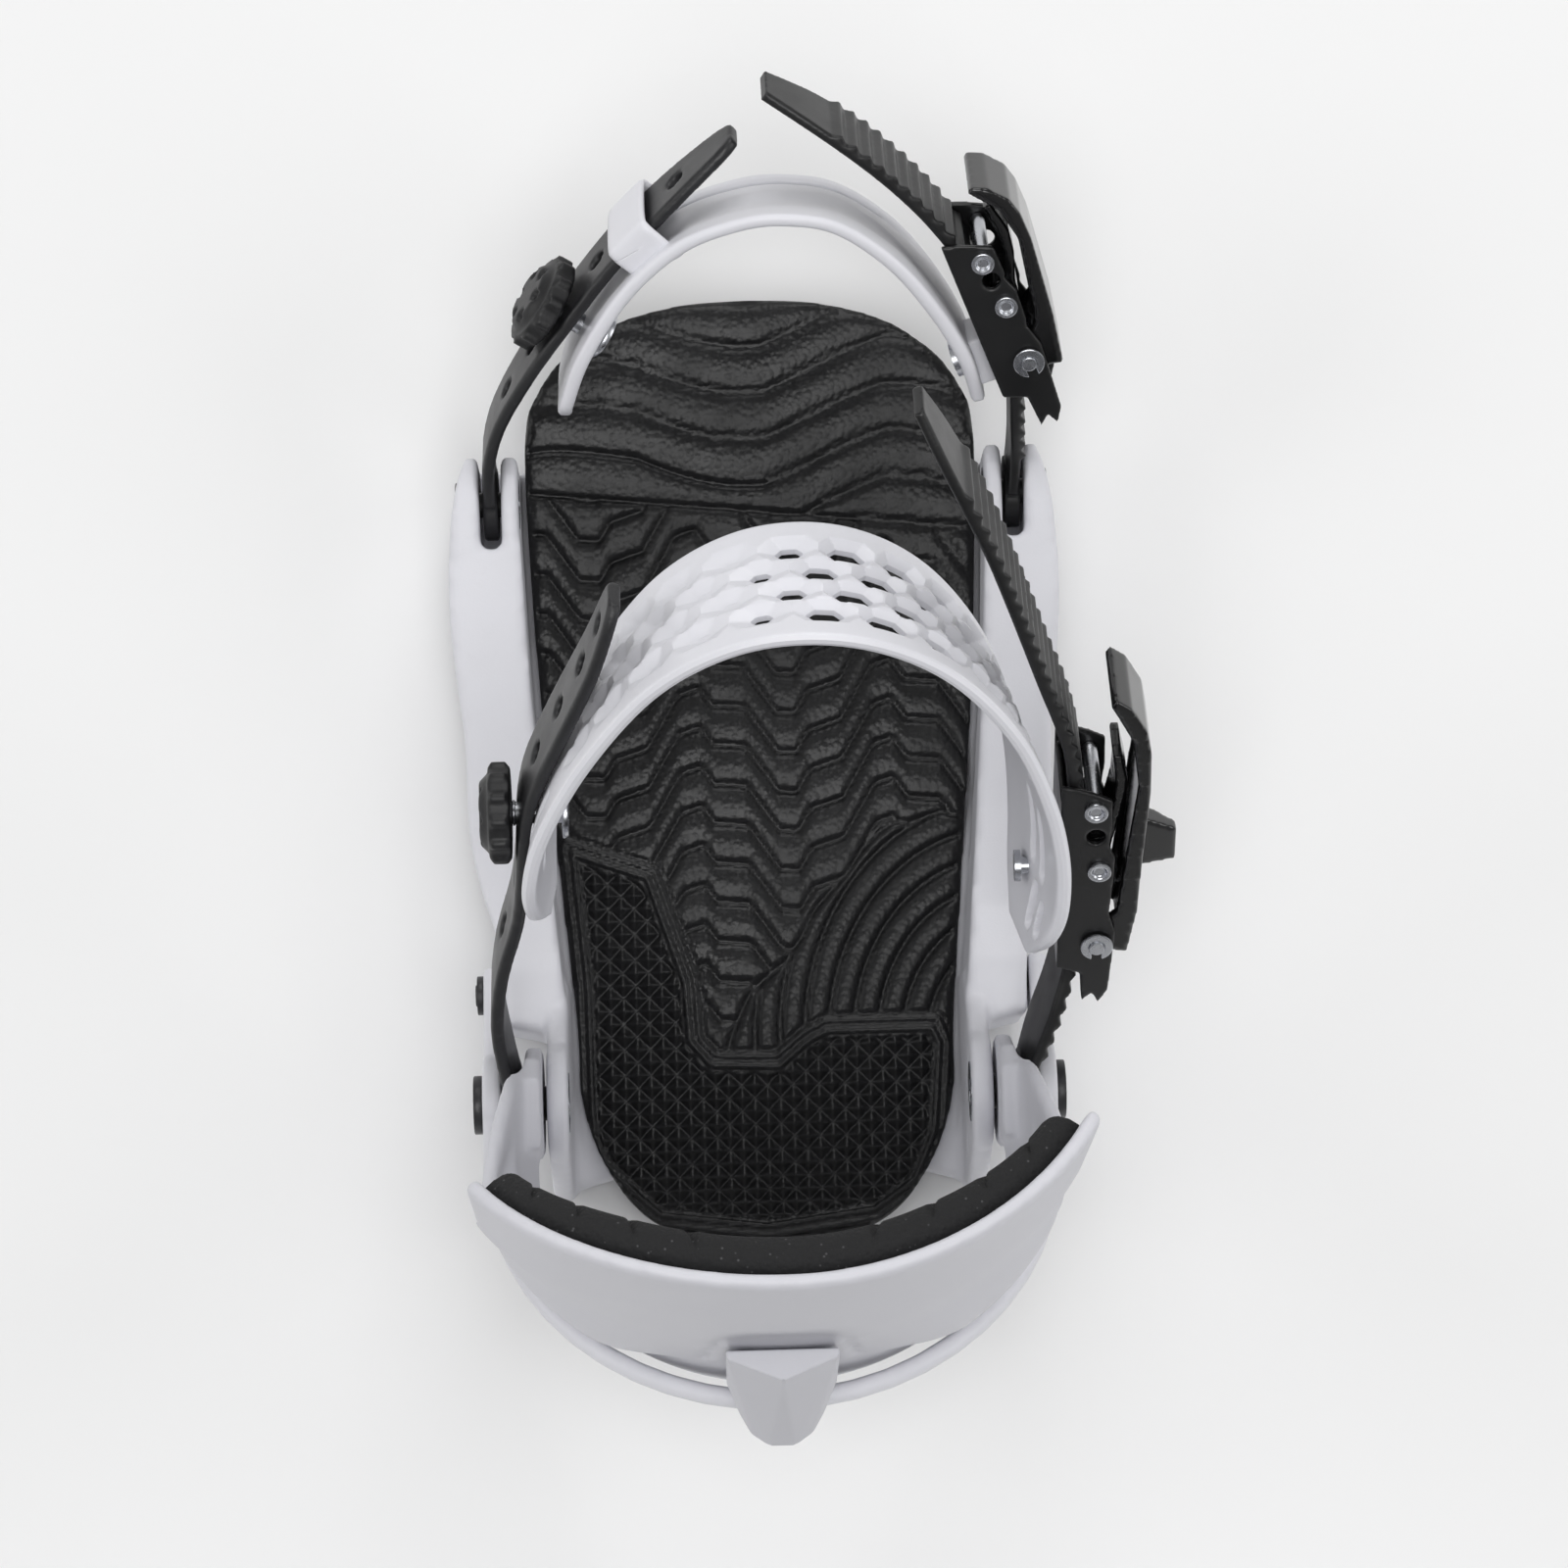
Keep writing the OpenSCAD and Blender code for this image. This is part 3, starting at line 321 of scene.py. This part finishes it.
def plate(steps, edge, holes, place, outside, inside):
    """A plate on a grid of u and v from 0 to 1: edge(u, v) gives its own mm coordinates, holes are
    (s, t, half s, half t, shape), place(s, t, out) puts it in space, and outside and inside
    give the two faces' heights at s, t."""
    bm = bmesh.new()
    bmesh.ops.create_grid(bm, x_segments=steps[0], y_segments=steps[1], size=1.0)
    for v in bm.verts:
        s, t = edge((v.co.x + 1) / 2, (v.co.y + 1) / 2)
        v.co = Vector((s, t, 0))
    for s, t, a, b, shape in holes:
        reach = 1.6 * max(a, b)
        near = [f for f in bm.faces if abs(f.calc_center_median().x - s) < reach
                and abs(f.calc_center_median().y - t) < reach]
        gone = [f for f in near if shape((f.calc_center_median().x - s) / a,
                                         (f.calc_center_median().y - t) / b) < 1]
        rim = {v for f in gone for v in f.verts}
        bmesh.ops.delete(bm, geom=gone, context="FACES")
        for v in rim:
            if v.is_valid and v.link_faces:
                k = shape((v.co.x - s) / a, (v.co.y - t) / b)
                # a long slot's sides move across it only
                v.co = Vector((s + (v.co.x - s) / (k if a < 6 * b else 1), t + (v.co.y - t) / k, 0))
    lower = list(bm.verts)
    made = bmesh.ops.extrude_face_region(bm, geom=list(bm.faces), use_keep_orig=True)
    upper = [v for v in made["geom"] if isinstance(v, bmesh.types.BMVert)]
    for verts, height in ((lower, inside), (upper, outside)):
        for v in verts:
            s, t = v.co.x, v.co.y
            v.co = place(s, t, height(s, t))
    bmesh.ops.recalc_face_normals(bm, faces=bm.faces)
    return bm


def join(bm, other):
    """Adds another mesh to bm."""
    mesh = bpy.data.meshes.new("part")
    other.to_mesh(mesh)
    other.free()
    bm.from_mesh(mesh)
    bpy.data.meshes.remove(mesh)


def block(low, high, place, ease_mm):
    """A box between two corners in mm with eased edges, put in place by a matrix."""
    bm = bmesh.new()
    bmesh.ops.create_cube(bm, size=1.0)
    for v in bm.verts:
        v.co = Vector([mix(a, b, c + 0.5) for a, b, c in zip(low, high, v.co)]) * MM
    bmesh.ops.bevel(bm, geom=list(bm.edges), offset=ease_mm * MM, offset_type="OFFSET",
                    affect="EDGES", segments=3, profile=0.5, material=-1)
    bmesh.ops.transform(bm, matrix=place, verts=bm.verts)
    return bm


def round_edge(gap, radius):
    """0 at the edge to 1 a radius further in, along a quarter circle."""
    g = min(1.0, max(0.0, gap / radius))
    return math.sqrt(1 - (1 - g) ** 2)


def half_thick(gap, radius=1.7):
    """Half of a band's thickness in mm, less where its edge is rounded."""
    return radius * mix(0.3, 1.0, round_edge(gap, radius))


# ---------- ankle strap ----------
ANKLE, TOE = (-79, 48), (66, 26)
TOE_BUCKLE = (Matrix.Translation(Vector((0, TOE[0], TOE[1])) * MM)
              @ Matrix.Rotation(math.radians(-50), 4, "X")
              @ Matrix.Translation(Vector((65.2, -2, 42.7)) * MM)
              @ Matrix.Rotation(math.radians(-20.3), 4, "Y"))
ankle_band = Band([[-49.5, 55, 4, 14], [-50.5, 62, -5, 22], [-50.3, 76, -12, 28],
    [-46.8, 92, -14, 30], [-37.6, 112, -14, 30], [-23.5, 132, -14, 30], [-8, 143, -14, 30],
    [8, 146.5, -14, 30], [24, 143.5, -14, 30], [38.5, 134, -14, 30], [50.5, 117.5, -14, 30],
    [57.5, 99, -14, 30], [60.8, 82, -14, 30], [61.2, 66, -13, 27], [59.8, 54, -9, 22],
    [58, 44, -1, 13]], ANKLE, 42, (0.0023, 0.0038, 0.0005, 8))
LEN = ankle_band.length
CROWN = 0.5 * LEN
CELL_S, CELL_T = 13.2, 8.2
FUNNEL_S, FUNNEL_T = CELL_S * 0.53, CELL_T * 0.53
cells = []
for row in range(4):
    for k in range(-7, 8):
        s = CROWN + (k + (0.5 if row % 2 else 0.0)) * CELL_S
        if abs(s - CROWN) < 78 - 4 * abs(row - 1.5):
            cells.append((s, -4.0 + row * CELL_T * 0.95))


def open_width(s):
    """How far a cell of the strap is opened, from closed on the left to wide on the right."""
    return mix(0.12, 0.6, step01((s - CROWN + 34) / 46)) * step01((76 - abs(s - CROWN)) / 14)


def ankle_edge(u, v):
    s = u * LEN
    q, _ = ankle_band.row(s)
    return s, mix(q[2], q[3], v)


def ankle_gap(s, t):
    q, _ = ankle_band.row(s)
    return min(t - q[2], q[3] - t, s + 0.3, LEN - s + 0.3)


def ankle_facets(s, t):
    """Depth of the faceted funnels round the cells."""
    deep = 0.0
    for cs, ct in cells:
        ds, dt = (s - cs) / FUNNEL_S, (t - ct) / FUNNEL_T
        if abs(ds) < 1.2 and abs(dt) < 1.2:
            g = hexagon(dt, ds)
            if g < 1:
                lip = max(0.25, open_width(cs))
                deep = max(deep, min(1.0, (1 - g) / (1 - lip)))
    fade = step01((84 - abs(s - CROWN)) / 16)
    return deep * fade


strap_holes = []
for cs, ct in cells:
    w = open_width(cs)
    if w > 0.3:
        strap_holes.append((cs, ct, FUNNEL_S * w, FUNNEL_T * w, lambda a, b: hexagon(b, a)))
# long recesses in the strap's ends: along, across, half length, half width
recesses = [(24, 3.5, 7.5, 1.6), (36, -4, 7, 1.5), (LEN - 34, 5.5, 10, 1.7),
            (LEN - 33, -1.5, 9.5, 1.6), (LEN - 12.5, 1.5, 6, 1.6), (LEN - 12.5, -4, 4.6, 1.4)]


def ankle_recess(s, t):
    return max(step01((1.25 - oblong((s - a) / c, (t - b) / d)) / 0.4) for a, b, c, d in recesses)


def ankle_out(s, t):
    return half_thick(ankle_gap(s, t)) - 2.0 * ankle_facets(s, t) - 0.7 * ankle_recess(s, t)


def ankle_in(s, t):
    return -half_thick(ankle_gap(s, t)) + 1.5 * ankle_recess(s, t)


bm = plate((520, 72), ankle_edge, strap_holes, ankle_band.point, ankle_out, ankle_in)
piece("ankle_strap_shell", bm, "ankle_strap", crisp=13)

# ---------- toe strap ----------
toe_band = Band([[-43.4, 29, -10, 6], [-42.8, 34, -15, 11], [-38.3, 47, -18, 14],
    [-28.3, 62.5, -18, 14], [-15.5, 74, -18, 14], [-2, 79.3, -18, 14], [9, 80.3, -18, 14],
    [21, 77.8, -18, 14], [33.5, 68.5, -18, 14], [43.5, 55.5, -17, 13], [50.5, 42, -14, 11],
    [54, 29, -8, 6]], TOE, 50, (0, 0, 0.002, -2))
TOE_LEN = toe_band.length


def toe_edge(u, v):
    s = u * TOE_LEN
    q, _ = toe_band.row(s)
    return s, mix(q[2], q[3], v)


def toe_gap(s, t):
    q, _ = toe_band.row(s)
    return min(t - q[2], q[3] - t, s + 0.3, TOE_LEN - s + 0.3)


def toe_out(s, t):
    k = (s - TOE_LEN / 2) / (TOE_LEN / 2)
    # the groove round the open slit, the hollows beside the spine and a raised rib
    slit = math.exp(-((t - 7.6) / 1.6) ** 2) * step01((0.62 - abs(k + 0.05)) / 0.2)
    hollow = step01(1 - abs(t + 6 - 4 * k) / 6.5) * step01((0.8 - abs(k)) / 0.3)
    rib = math.exp(-((t + 3 + 12 * (k - 0.5)) / 0.8) ** 2) * step01((k - 0.22) / 0.15) \
        * step01((0.78 - k) / 0.1)
    return half_thick(toe_gap(s, t)) - 1.2 * slit - 0.7 * hollow + 0.5 * rib


def toe_in(s, t):
    return -half_thick(toe_gap(s, t))


# keeper loop that stands over the connector, as mm across it and out from its middle
keeper = curve([(-13.3, -8), (-13.3, -1), (-12.7, 2.3), (-10.8, 3.1), (-2, 3.3), (6.8, 3.1),
                (8.7, 2.3), (9.3, -1), (9.3, -8)], 6)
toe_link = Band([[-62.2, 4, -9, 9], [-62.2, 14, -9, 9], [-59, 26, -10, 8], [-51, 41, -12, 8],
    [-42.6, 53, -12, 8], [-31.5, 68, -12, 8], [-18, 82.5, -11, 7], [-6, 94, -8.5, 4.5],
    [-2.2, 97.4, -6, 2]], TOE, 50)
KEEP_S = min(range(int(toe_link.length)), key=lambda s: abs(toe_link.row(s)[0][1] - 74.5))


def keeper_point(s, q, out):
    k = min(int(q), len(keeper) - 2)
    a, b = keeper[k], keeper[k + 1]
    run = Vector((b[0] - a[0], b[1] - a[1])).normalized()
    lift = mix(a[1], b[1], q - k)
    lift = lift if lift > -1 else lift + 0.7 - 0.29 * (s - KEEP_S)
    return toe_link.point(s, mix(a[0], b[0], q - k) - run.y * out, lift + run.x * out)


# the open slit between the strap's two layers
toe_slit = (0.49 * TOE_LEN, 7.8, 0.2 * TOE_LEN, 0.95, oblong)
bm = plate((250, 64), toe_edge, [toe_slit], toe_band.point, toe_out, toe_in)
loop = plate((12, 96), lambda u, v: (KEEP_S - 6 + 12 * u, v * (len(keeper) - 1.001)), [],
             keeper_point,
             lambda s, q: 0.8 * mix(0.3, 1, round_edge(6.01 - abs(s - KEEP_S), 1.2)),
             lambda s, q: -0.8 * mix(0.3, 1, round_edge(6.01 - abs(s - KEEP_S), 1.2)))
join(bm, loop)
# the foot that carries the buckle
foot = block((-14, -6, -5), (-8.95, 6, 7), TOE_BUCKLE, 0.8)
join(bm, foot)
piece("toe_strap_shell", bm, "toe_strap")

# ---------- highback ----------
RIM_Z, LOW_Z, SIDE_LOW_Z = 235, 66, 58
BACK_RUN = RIM_Z - LOW_Z
HALF_GRID = 70
BACK_T, BACK_EASE = 3.4, 1.7


def back_y(z):
    return mix(-145.5, -129, (z - LOW_Z) / BACK_RUN)


def back_low(u):
    return mix(LOW_Z, SIDE_LOW_Z, u * u)


def back_rim(u):
    return RIM_Z - abs(u) ** 3 * (20 if u < 0 else 10)


def back_point(u, v, deep):
    """Point of the highback u across (-1 to 1), v up (0 to 1), deep mm in from its outer face."""
    side = 1 if u > 0 else -1 if u < 0 else 0
    z = mix(back_low(u), back_rim(u), v)
    k = step01((z - 80) / 90)
    fan = math.radians(mix(90, 65, k))
    ua = mix(0.78, 1, k)
    f = min(abs(u) / ua, 1) * fan * side
    a = mix(mix(56.3, 60.6, step01((z - 58) / 26)), 64.3 / math.sin(math.radians(65)), k)
    b = mix(50, 43 if u < 0 else 59, k)
    n = Vector((b * math.sin(f), -a * math.cos(f))).normalized()
    e = max(0, abs(u) - ua) / (1.001 - ua) * mix(23, 0, step01((z - 62) / 75))
    # the shell swells out over the hoop on both sides of the lean block
    deep -= 4.4 * step01((z - 92) / 7) * step01((146 - z) / 40) \
        * step01((abs(u) - 0.16) / 0.22) * step01((0.92 - abs(u)) / 0.25)
    return Vector((a * math.sin(f) - n.x * deep - n.y * side * e,
                   back_y(z) + b * (1 - math.cos(f)) - n.y * deep + n.x * side * e, z)) * MM


def back_place(s, z, deep):
    u = min(1.0, max(-1.0, s / HALF_GRID))
    return back_point(u, (z - back_low(u)) / (back_rim(u) - back_low(u)), deep)


def back_edge(u, v):
    u = 2 * u - 1
    return HALF_GRID * u, mix(back_low(u), back_rim(u), v)


def back_gap(s, z):
    u = min(1.0, abs(s) / HALF_GRID) * (1 if s > 0 else -1)
    return min(back_rim(u) - z, z - back_low(u), HALF_GRID - abs(s)) + 0.05


def back_rounding(s, z):
    """Depth in mm by which the shell's rounded edge falls away."""
    return BACK_EASE * (1 - mix(0.3, 1, round_edge(back_gap(s, z), BACK_EASE)))


def back_out(s, z):
    """A soft scoop over the lean block and a fine slit down each side of it."""
    scoop = 2.0 * math.exp(-(s / 11) ** 4) * step01((z - 134) / 8) * step01((172 - z) / 30)
    slit = 1.6 * math.exp(-((abs(s) - 10.6) / 0.6) ** 2) * step01((z - 100) / 6) \
        * step01((141 - z) / 3)
    flute = 0.9 * math.exp(-((z - 84 - 0.012 * s * s) / 5) ** 2) * step01((abs(s) - 14) / 12)
    return back_rounding(s, z) + scoop + slit + flute


bm = plate((200, 180), back_edge, [(0, 117, 2.4, 8, oblong)], back_place, back_out,
           lambda s, z: BACK_T - back_rounding(s, z))
for side in (-1, 1):
    # ear round the bolt: a ring, and a web from it up into the shell
    ear = bmesh.new()
    for radius in (13.0, 4.05):
        bmesh.ops.create_circle(ear, cap_ends=False, segments=64, radius=radius * MM)
    bmesh.ops.bridge_loops(ear, edges=ear.edges)
    web = [ear.verts.new(Vector((y, z, 0)) * MM) for y, z in
           ((-12.9, 4.3), (12.9, 4.3), (9, 21), (4, 27), (-12, 27))]
    ear.faces.new(web)
    up = bmesh.ops.extrude_face_region(ear, geom=list(ear.faces), use_keep_orig=True)["geom"]
    bmesh.ops.translate(ear, verts=[v for v in up if isinstance(v, bmesh.types.BMVert)],
                        vec=(0, 0, 4 * MM))
    bmesh.ops.recalc_face_normals(ear, faces=ear.faces)
    turn = Matrix(((0, 0, 1, 52.3 * MM), (1, 0, 0, -79 * MM), (0, 1, 0, 48 * MM), (0, 0, 0, 1)))
    bmesh.ops.transform(ear, matrix=turn, verts=ear.verts)
    if side < 0:
        bmesh.ops.scale(ear, vec=(-1, 1, 1), verts=ear.verts)
        bmesh.ops.recalc_face_normals(ear, faces=ear.faces)
    join(bm, ear)
piece("highback_shell", even_skin(bm, 1.0, 3), "highback")

# ---------- foam pad of the highback ----------
# reach across, and lower and upper ends as shares of the highback
PAD_U, PAD_LOW, PAD_HIGH = 0.95, 0.4, 0.965
PAD_SEAT = BACK_T + 0.15


def pad_edge(u, v):
    s = HALF_GRID * mix(-PAD_U, PAD_U, u)
    return s, mix(PAD_LOW, PAD_HIGH, v)


def pad_place(s, v, deep):
    return back_point(s / HALF_GRID, v, deep)


def pad_gap(s, v):
    return min(HALF_GRID * PAD_U - abs(s), (v - PAD_LOW) * BACK_RUN,
               (PAD_HIGH - v) * BACK_RUN) + 0.05


def pad_face(s, v):
    """Front of the pad: crowned, thinner at its ends, cut by slanted slits and a V channel."""
    z = v * BACK_RUN
    slant = (abs(s) + 0.55 * z) / 12.5
    cut = math.exp(-((slant - math.floor(slant) - 0.5) / 0.055) ** 2)
    cut *= step01((abs(s) - 7) / 5) * step01((pad_gap(s, v) + 1) / 3)
    vee = math.exp(-((z - 0.9 * abs(s) - 88) / 1.6) ** 2) * step01((44 - abs(s)) / 10)
    crown = mix(6.6, 8.3, step01((66 - abs(s)) / 40))
    return PAD_SEAT + crown * mix(0.35, 1, round_edge(pad_gap(s, v), 4.5)) - 1.9 * cut - 1.6 * vee


bm = plate((210, 130), pad_edge, [], pad_place, lambda s, v: PAD_SEAT, pad_face)
pad = piece("highback_foam_pad", bm, "highback_pad")

# ---------- footbed ----------
GRIP_PITCH = 4.35
grip = [(-46.3, -15.7), (-26.6, -22.7), (-18, -48.6), (-17.2, -62.7), (-12.7, -67.8), (2.5, -68.5),
        (9.8, -62.6), (14.5, -60.3), (40.4, -60.3), (42.4, -65), (40.6, -86.1), (35.7, -97.9),
        (25, -105.2), (-1, -108.6), (-26.7, -105.2), (-40, -93.2), (-43.0, -86), (-43.3, -48.6),
        (-45.4, -25)]


def grip_gap(x, y):
    """Distance to the border of the heel grip, positive inside it."""
    best, inside = 1e9, False
    for (ax, ay), (bx, by) in zip(grip, grip[1:] + grip[:1]):
        t = min(1, max(0, ((x - ax) * (bx - ax) + (y - ay) * (by - ay))
                       / ((bx - ax) ** 2 + (by - ay) ** 2)))
        best = min(best, math.hypot(x - ax - t * (bx - ax), y - ay - t * (by - ay)))
        if (ay > y) != (by > y) and x < (bx - ax) * (y - ay) / (by - ay) + ax:
            inside = not inside
    return best if inside else -best


def terrain(x, y):
    """Height fields whose level lines are pressed into the footbed as grooves."""
    peaks = y + 10 * tri(x / 46 + 0.3) + 2.6 * tri(x / 15.5 + 0.2) - 0.12 * x
    rings = 66 - math.hypot(x - 58, (y + 64) * 0.85) * 0.95
    waves = y * 0.95 + 4.5 * math.cos(x / 15 + 0.5) + 2.2 * tri(x / 60 + 0.45) - 46
    return peaks, rings, waves


def level_gap(value, slope, spacing):
    k = value / spacing
    return abs(k - math.floor(k) - 0.5) * spacing / slope


def bed_depth(x, y):
    g = grip_gap(x, y)
    if g > 2.4:
        a, b = (x + y) / GRIP_PITCH / math.sqrt(2), (x - y) / GRIP_PITCH / math.sqrt(2)
        high = 1 - 2 * max(abs(a - math.floor(a) - 0.5), abs(b - math.floor(b) - 0.5))
        return mix(0.9, 1.9 - 1.9 * high, step01((g - 2.4) / 0.6))
    if g > -3.0:
        # rounded double bead round the grip
        return 1.1 - 1.1 * max(math.exp(-((g - 1.0) / 0.75) ** 2),
                               math.exp(-((g + 1.3) / 0.75) ** 2))
    peaks, rings, waves = terrain(x, y)
    top, side = y - 64 + 0.1 * x, rings - 0.35 * peaks - 26
    if top > 0:
        gap, swell = level_gap(waves, 1.0, 10.5), 10.5
    elif side > 0:
        gap, swell = level_gap(rings, 0.9, 5.6), 5.6
    else:
        gap, swell = level_gap(peaks, 1.2, 9.5), 9.5
    gap = min(gap, abs(top), 9 if top > 0 else abs(side) / 0.9)
    return 1.15 * math.exp(-(gap / 0.6) ** 2) + 0.45 * math.exp(-(gap / (0.28 * swell)) ** 2)


def bed_press(p, n):
    return max(0.0, bed_depth(p.x, p.y)) * step01((n.z - 0.55) / 0.3) if n.z > 0.5 else 0.0


bm = even_skin(merged("footbed"), 1.35, 3)
for near in (-99, 1.5):
    top = [f for f in bm.faces if f.normal.z > 0.75 and
           grip_gap(*(f.calc_center_median() / MM).xy) > near]
    bmesh.ops.subdivide_edges(bm, edges=list({e for f in top for e in f.edges}), cuts=1,
                              use_grid_fill=True)
    bm.normal_update()
press(bm, bed_press)
piece("footbed_eva_board", bm, "footbed")

# ---------- base, hoop, lean block ----------
piece("chassis_moulding", even_skin(merged("base_chassis"), 1.15, 3), "base_chassis")
piece("hoop_band", even_skin(merged("heel_hoop"), 1.0, 4), "heel_hoop")
pads = piece("base_foam_strips", even_skin(merged("base_pads"), 0.9, 2), "base_pads")
piece("disc_moulding", machined("mounting_disc", 0.35), "mounting_disc", flat=True)

tilt = math.atan(16.5 / BACK_RUN)
lean_at = (Matrix.Translation(Vector((0, back_y(112), 112)) * MM)
           @ Matrix.Rotation(-tilt, 4, "X"))
bm = bmesh.new()
for x, y, z in ((12.2, -0.6, 28), (12.2, -2.4, 28), (0, -7.4, 28), (12.1, -0.6, 0),
                (12.1, -4.6, 0), (4.3, -11.4, 0), (6.6, -0.6, -20.2), (6.6, -13.4, -20.2),
                (2.8, -16.6, -20.2), (6.9, -14.0, -17.4), (9.6, -0.6, -13), (9.6, -9.6, -13)):
    for side in (-1, 1):
        if x or side > 0:
            bm.verts.new(Vector((side * x, y, z)) * MM)
bmesh.ops.convex_hull(bm, input=bm.verts)
bmesh.ops.dissolve_limit(bm, angle_limit=math.radians(1), verts=bm.verts, edges=bm.edges)
bmesh.ops.bevel(bm, geom=list(bm.edges), offset=0.5 * MM, offset_type="OFFSET", affect="EDGES",
                segments=3, profile=0.5, material=-1)
bmesh.ops.transform(bm, matrix=lean_at, verts=bm.verts)
bmesh.ops.recalc_face_normals(bm, faces=bm.faces)
piece("lean_wedge", bm, "lean_block", mat=lever_block, flat=True)

# ---------- connectors, ladders, buckles, knobs ----------
for node, cell, passes in (("ankle_connector", 0.6, 3), ("toe_connector", 0.6, 3),
                           ("ankle_ladder", 0.42, 1), ("toe_ladder", 0.4, 1),
                           ("ankle_frame", 0.4, 2), ("toe_frame", 0.4, 2),
                           ("ankle_lever", 0.5, 3), ("toe_lever", 0.5, 3),
                           ("ankle_pawl", 0.4, 2), ("toe_pawl", 0.4, 2),
                           ("ankle_knob", 0.45, 3), ("toe_knob", 0.45, 3)):
    piece(node + "_moulding", even_skin(merged(node), cell, passes), node)
for node in ("ankle_lever_axle", "ankle_pawl_axle", "ankle_rivet", "toe_lever_axle",
             "toe_pawl_axle", "toe_rivet"):
    piece(node + "_turned", machined(node, 0.22, dimple_mm=0.7, rise_mm=0.0), node, flat=True)
for node in ("pivot_bolts", "hoop_screws", "toe_bolts", "ankle_knob_screw", "toe_knob_screw",
             "ankle_clip", "toe_clip"):
    piece(node + "_turned", machined(node, 0.3), node, flat=True)
for node, lean in (("ankle_spring", 42), ("toe_spring", 50)):
    # wire wound four times round the pawl's axle
    low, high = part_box(node)
    middle = (Vector(low) + Vector(high)) / 2
    bm = bmesh.new()
    bmesh.ops.create_circle(bm, cap_ends=True, segments=10, radius=0.33 * MM)
    bmesh.ops.rotate(bm, verts=bm.verts, cent=(0, 0, 0),
                     matrix=Matrix.Rotation(math.radians(90), 3, "X"))
    bmesh.ops.translate(bm, verts=bm.verts, vec=(2.75 * MM, 0, -1.45 * MM))
    bmesh.ops.spin(bm, geom=list(bm.verts) + list(bm.edges) + list(bm.faces), cent=(0, 0, 0),
                   axis=(0, 0, 1), dvec=(0, 0, 2.9 * MM / 120), angle=math.tau * 4, steps=120,
                   use_merge=False)
    bmesh.ops.remove_doubles(bm, verts=bm.verts, dist=1e-6)
    bmesh.ops.recalc_face_normals(bm, faces=bm.faces)
    axis = Vector((0, math.cos(math.radians(lean)), -math.sin(math.radians(lean))))
    bmesh.ops.transform(bm, verts=bm.verts, matrix=Matrix.Translation(middle)
                        @ axis.to_track_quat("Z", "Y").to_matrix().to_4x4())
    piece(node + "_wire", bm, node)

# ---------- stage ----------
CAMERA_FAR = 1.3
FOCAL_SHARE = 5460 / 1600
SENSOR_MM = 36


def camera():
    target = Vector((0.0063, 0, 0))
    back = Vector((math.tan(math.radians(-1.0)), -math.tan(math.radians(7.0)), 1)).normalized()
    right = Vector((0, 1, 0)).cross(back).normalized()
    up = back.cross(right)
    roll = math.radians(1.7)
    r = right * math.cos(roll) - up * math.sin(roll)
    u = right * math.sin(roll) + up * math.cos(roll)
    cam = bpy.data.cameras.new("camera")
    cam.lens = FOCAL_SHARE * SENSOR_MM
    cam.sensor_width = SENSOR_MM
    cam.clip_start = 0.05
    obj = bpy.data.objects.new("camera", cam)
    bpy.context.scene.collection.objects.link(obj)
    eye = target + back * CAMERA_FAR
    obj.matrix_world = Matrix(((r.x, u.x, back.x, eye.x), (r.y, u.y, back.y, eye.y),
                               (r.z, u.z, back.z, eye.z), (0, 0, 0, 1)))
    bpy.context.scene.camera = obj


def area_light(name, at, size, power, to=(0, 0, 0.05)):
    light = bpy.data.lights.new(name, "AREA")
    light.shape = "DISK"
    light.size = size
    light.energy = power
    obj = bpy.data.objects.new(name, light)
    bpy.context.scene.collection.objects.link(obj)
    obj.location = at
    obj.rotation_euler = (Vector(to) - Vector(at)).to_track_quat("-Z", "Y").to_euler()


camera()
area_light("soft_top", (0.0, -0.45, 1.85), 1.2, 15)
area_light("soft_front", (0.2, 1.5, 1.2), 1.3, 11)
area_light("soft_left", (-1.7, 0.1, 1.1), 1.2, 8)
area_light("soft_right", (1.7, 0.1, 1.1), 1.2, 8)
world = bpy.data.worlds.new("studio")
bpy.context.scene.world = world
world.use_nodes = True
sky = world.node_tree.nodes["Background"]
sky.inputs["Color"].default_value = (1, 1, 1, 1)
sky.inputs["Strength"].default_value = 0.3
bpy.context.scene.view_settings.view_transform = "Standard"

bm = bmesh.new()
bmesh.ops.create_grid(bm, x_segments=1, y_segments=1, size=3)
mesh = bpy.data.meshes.new("studio_floor")
bm.to_mesh(mesh)
bm.free()
floor = bpy.data.objects.new("studio_floor", mesh)
bpy.context.scene.collection.objects.link(floor)
paper = new_material("matt_paper_floor")
skin = add(paper, "ShaderNodeBsdfPrincipled", {"Base Color": srgb("f2f2f2"), "Roughness": 0.9,
           "Specular IOR Level": 0.1})
add(paper, "ShaderNodeOutputMaterial", {}, {"Surface": skin.outputs[0]})
floor.data.materials.append(paper)
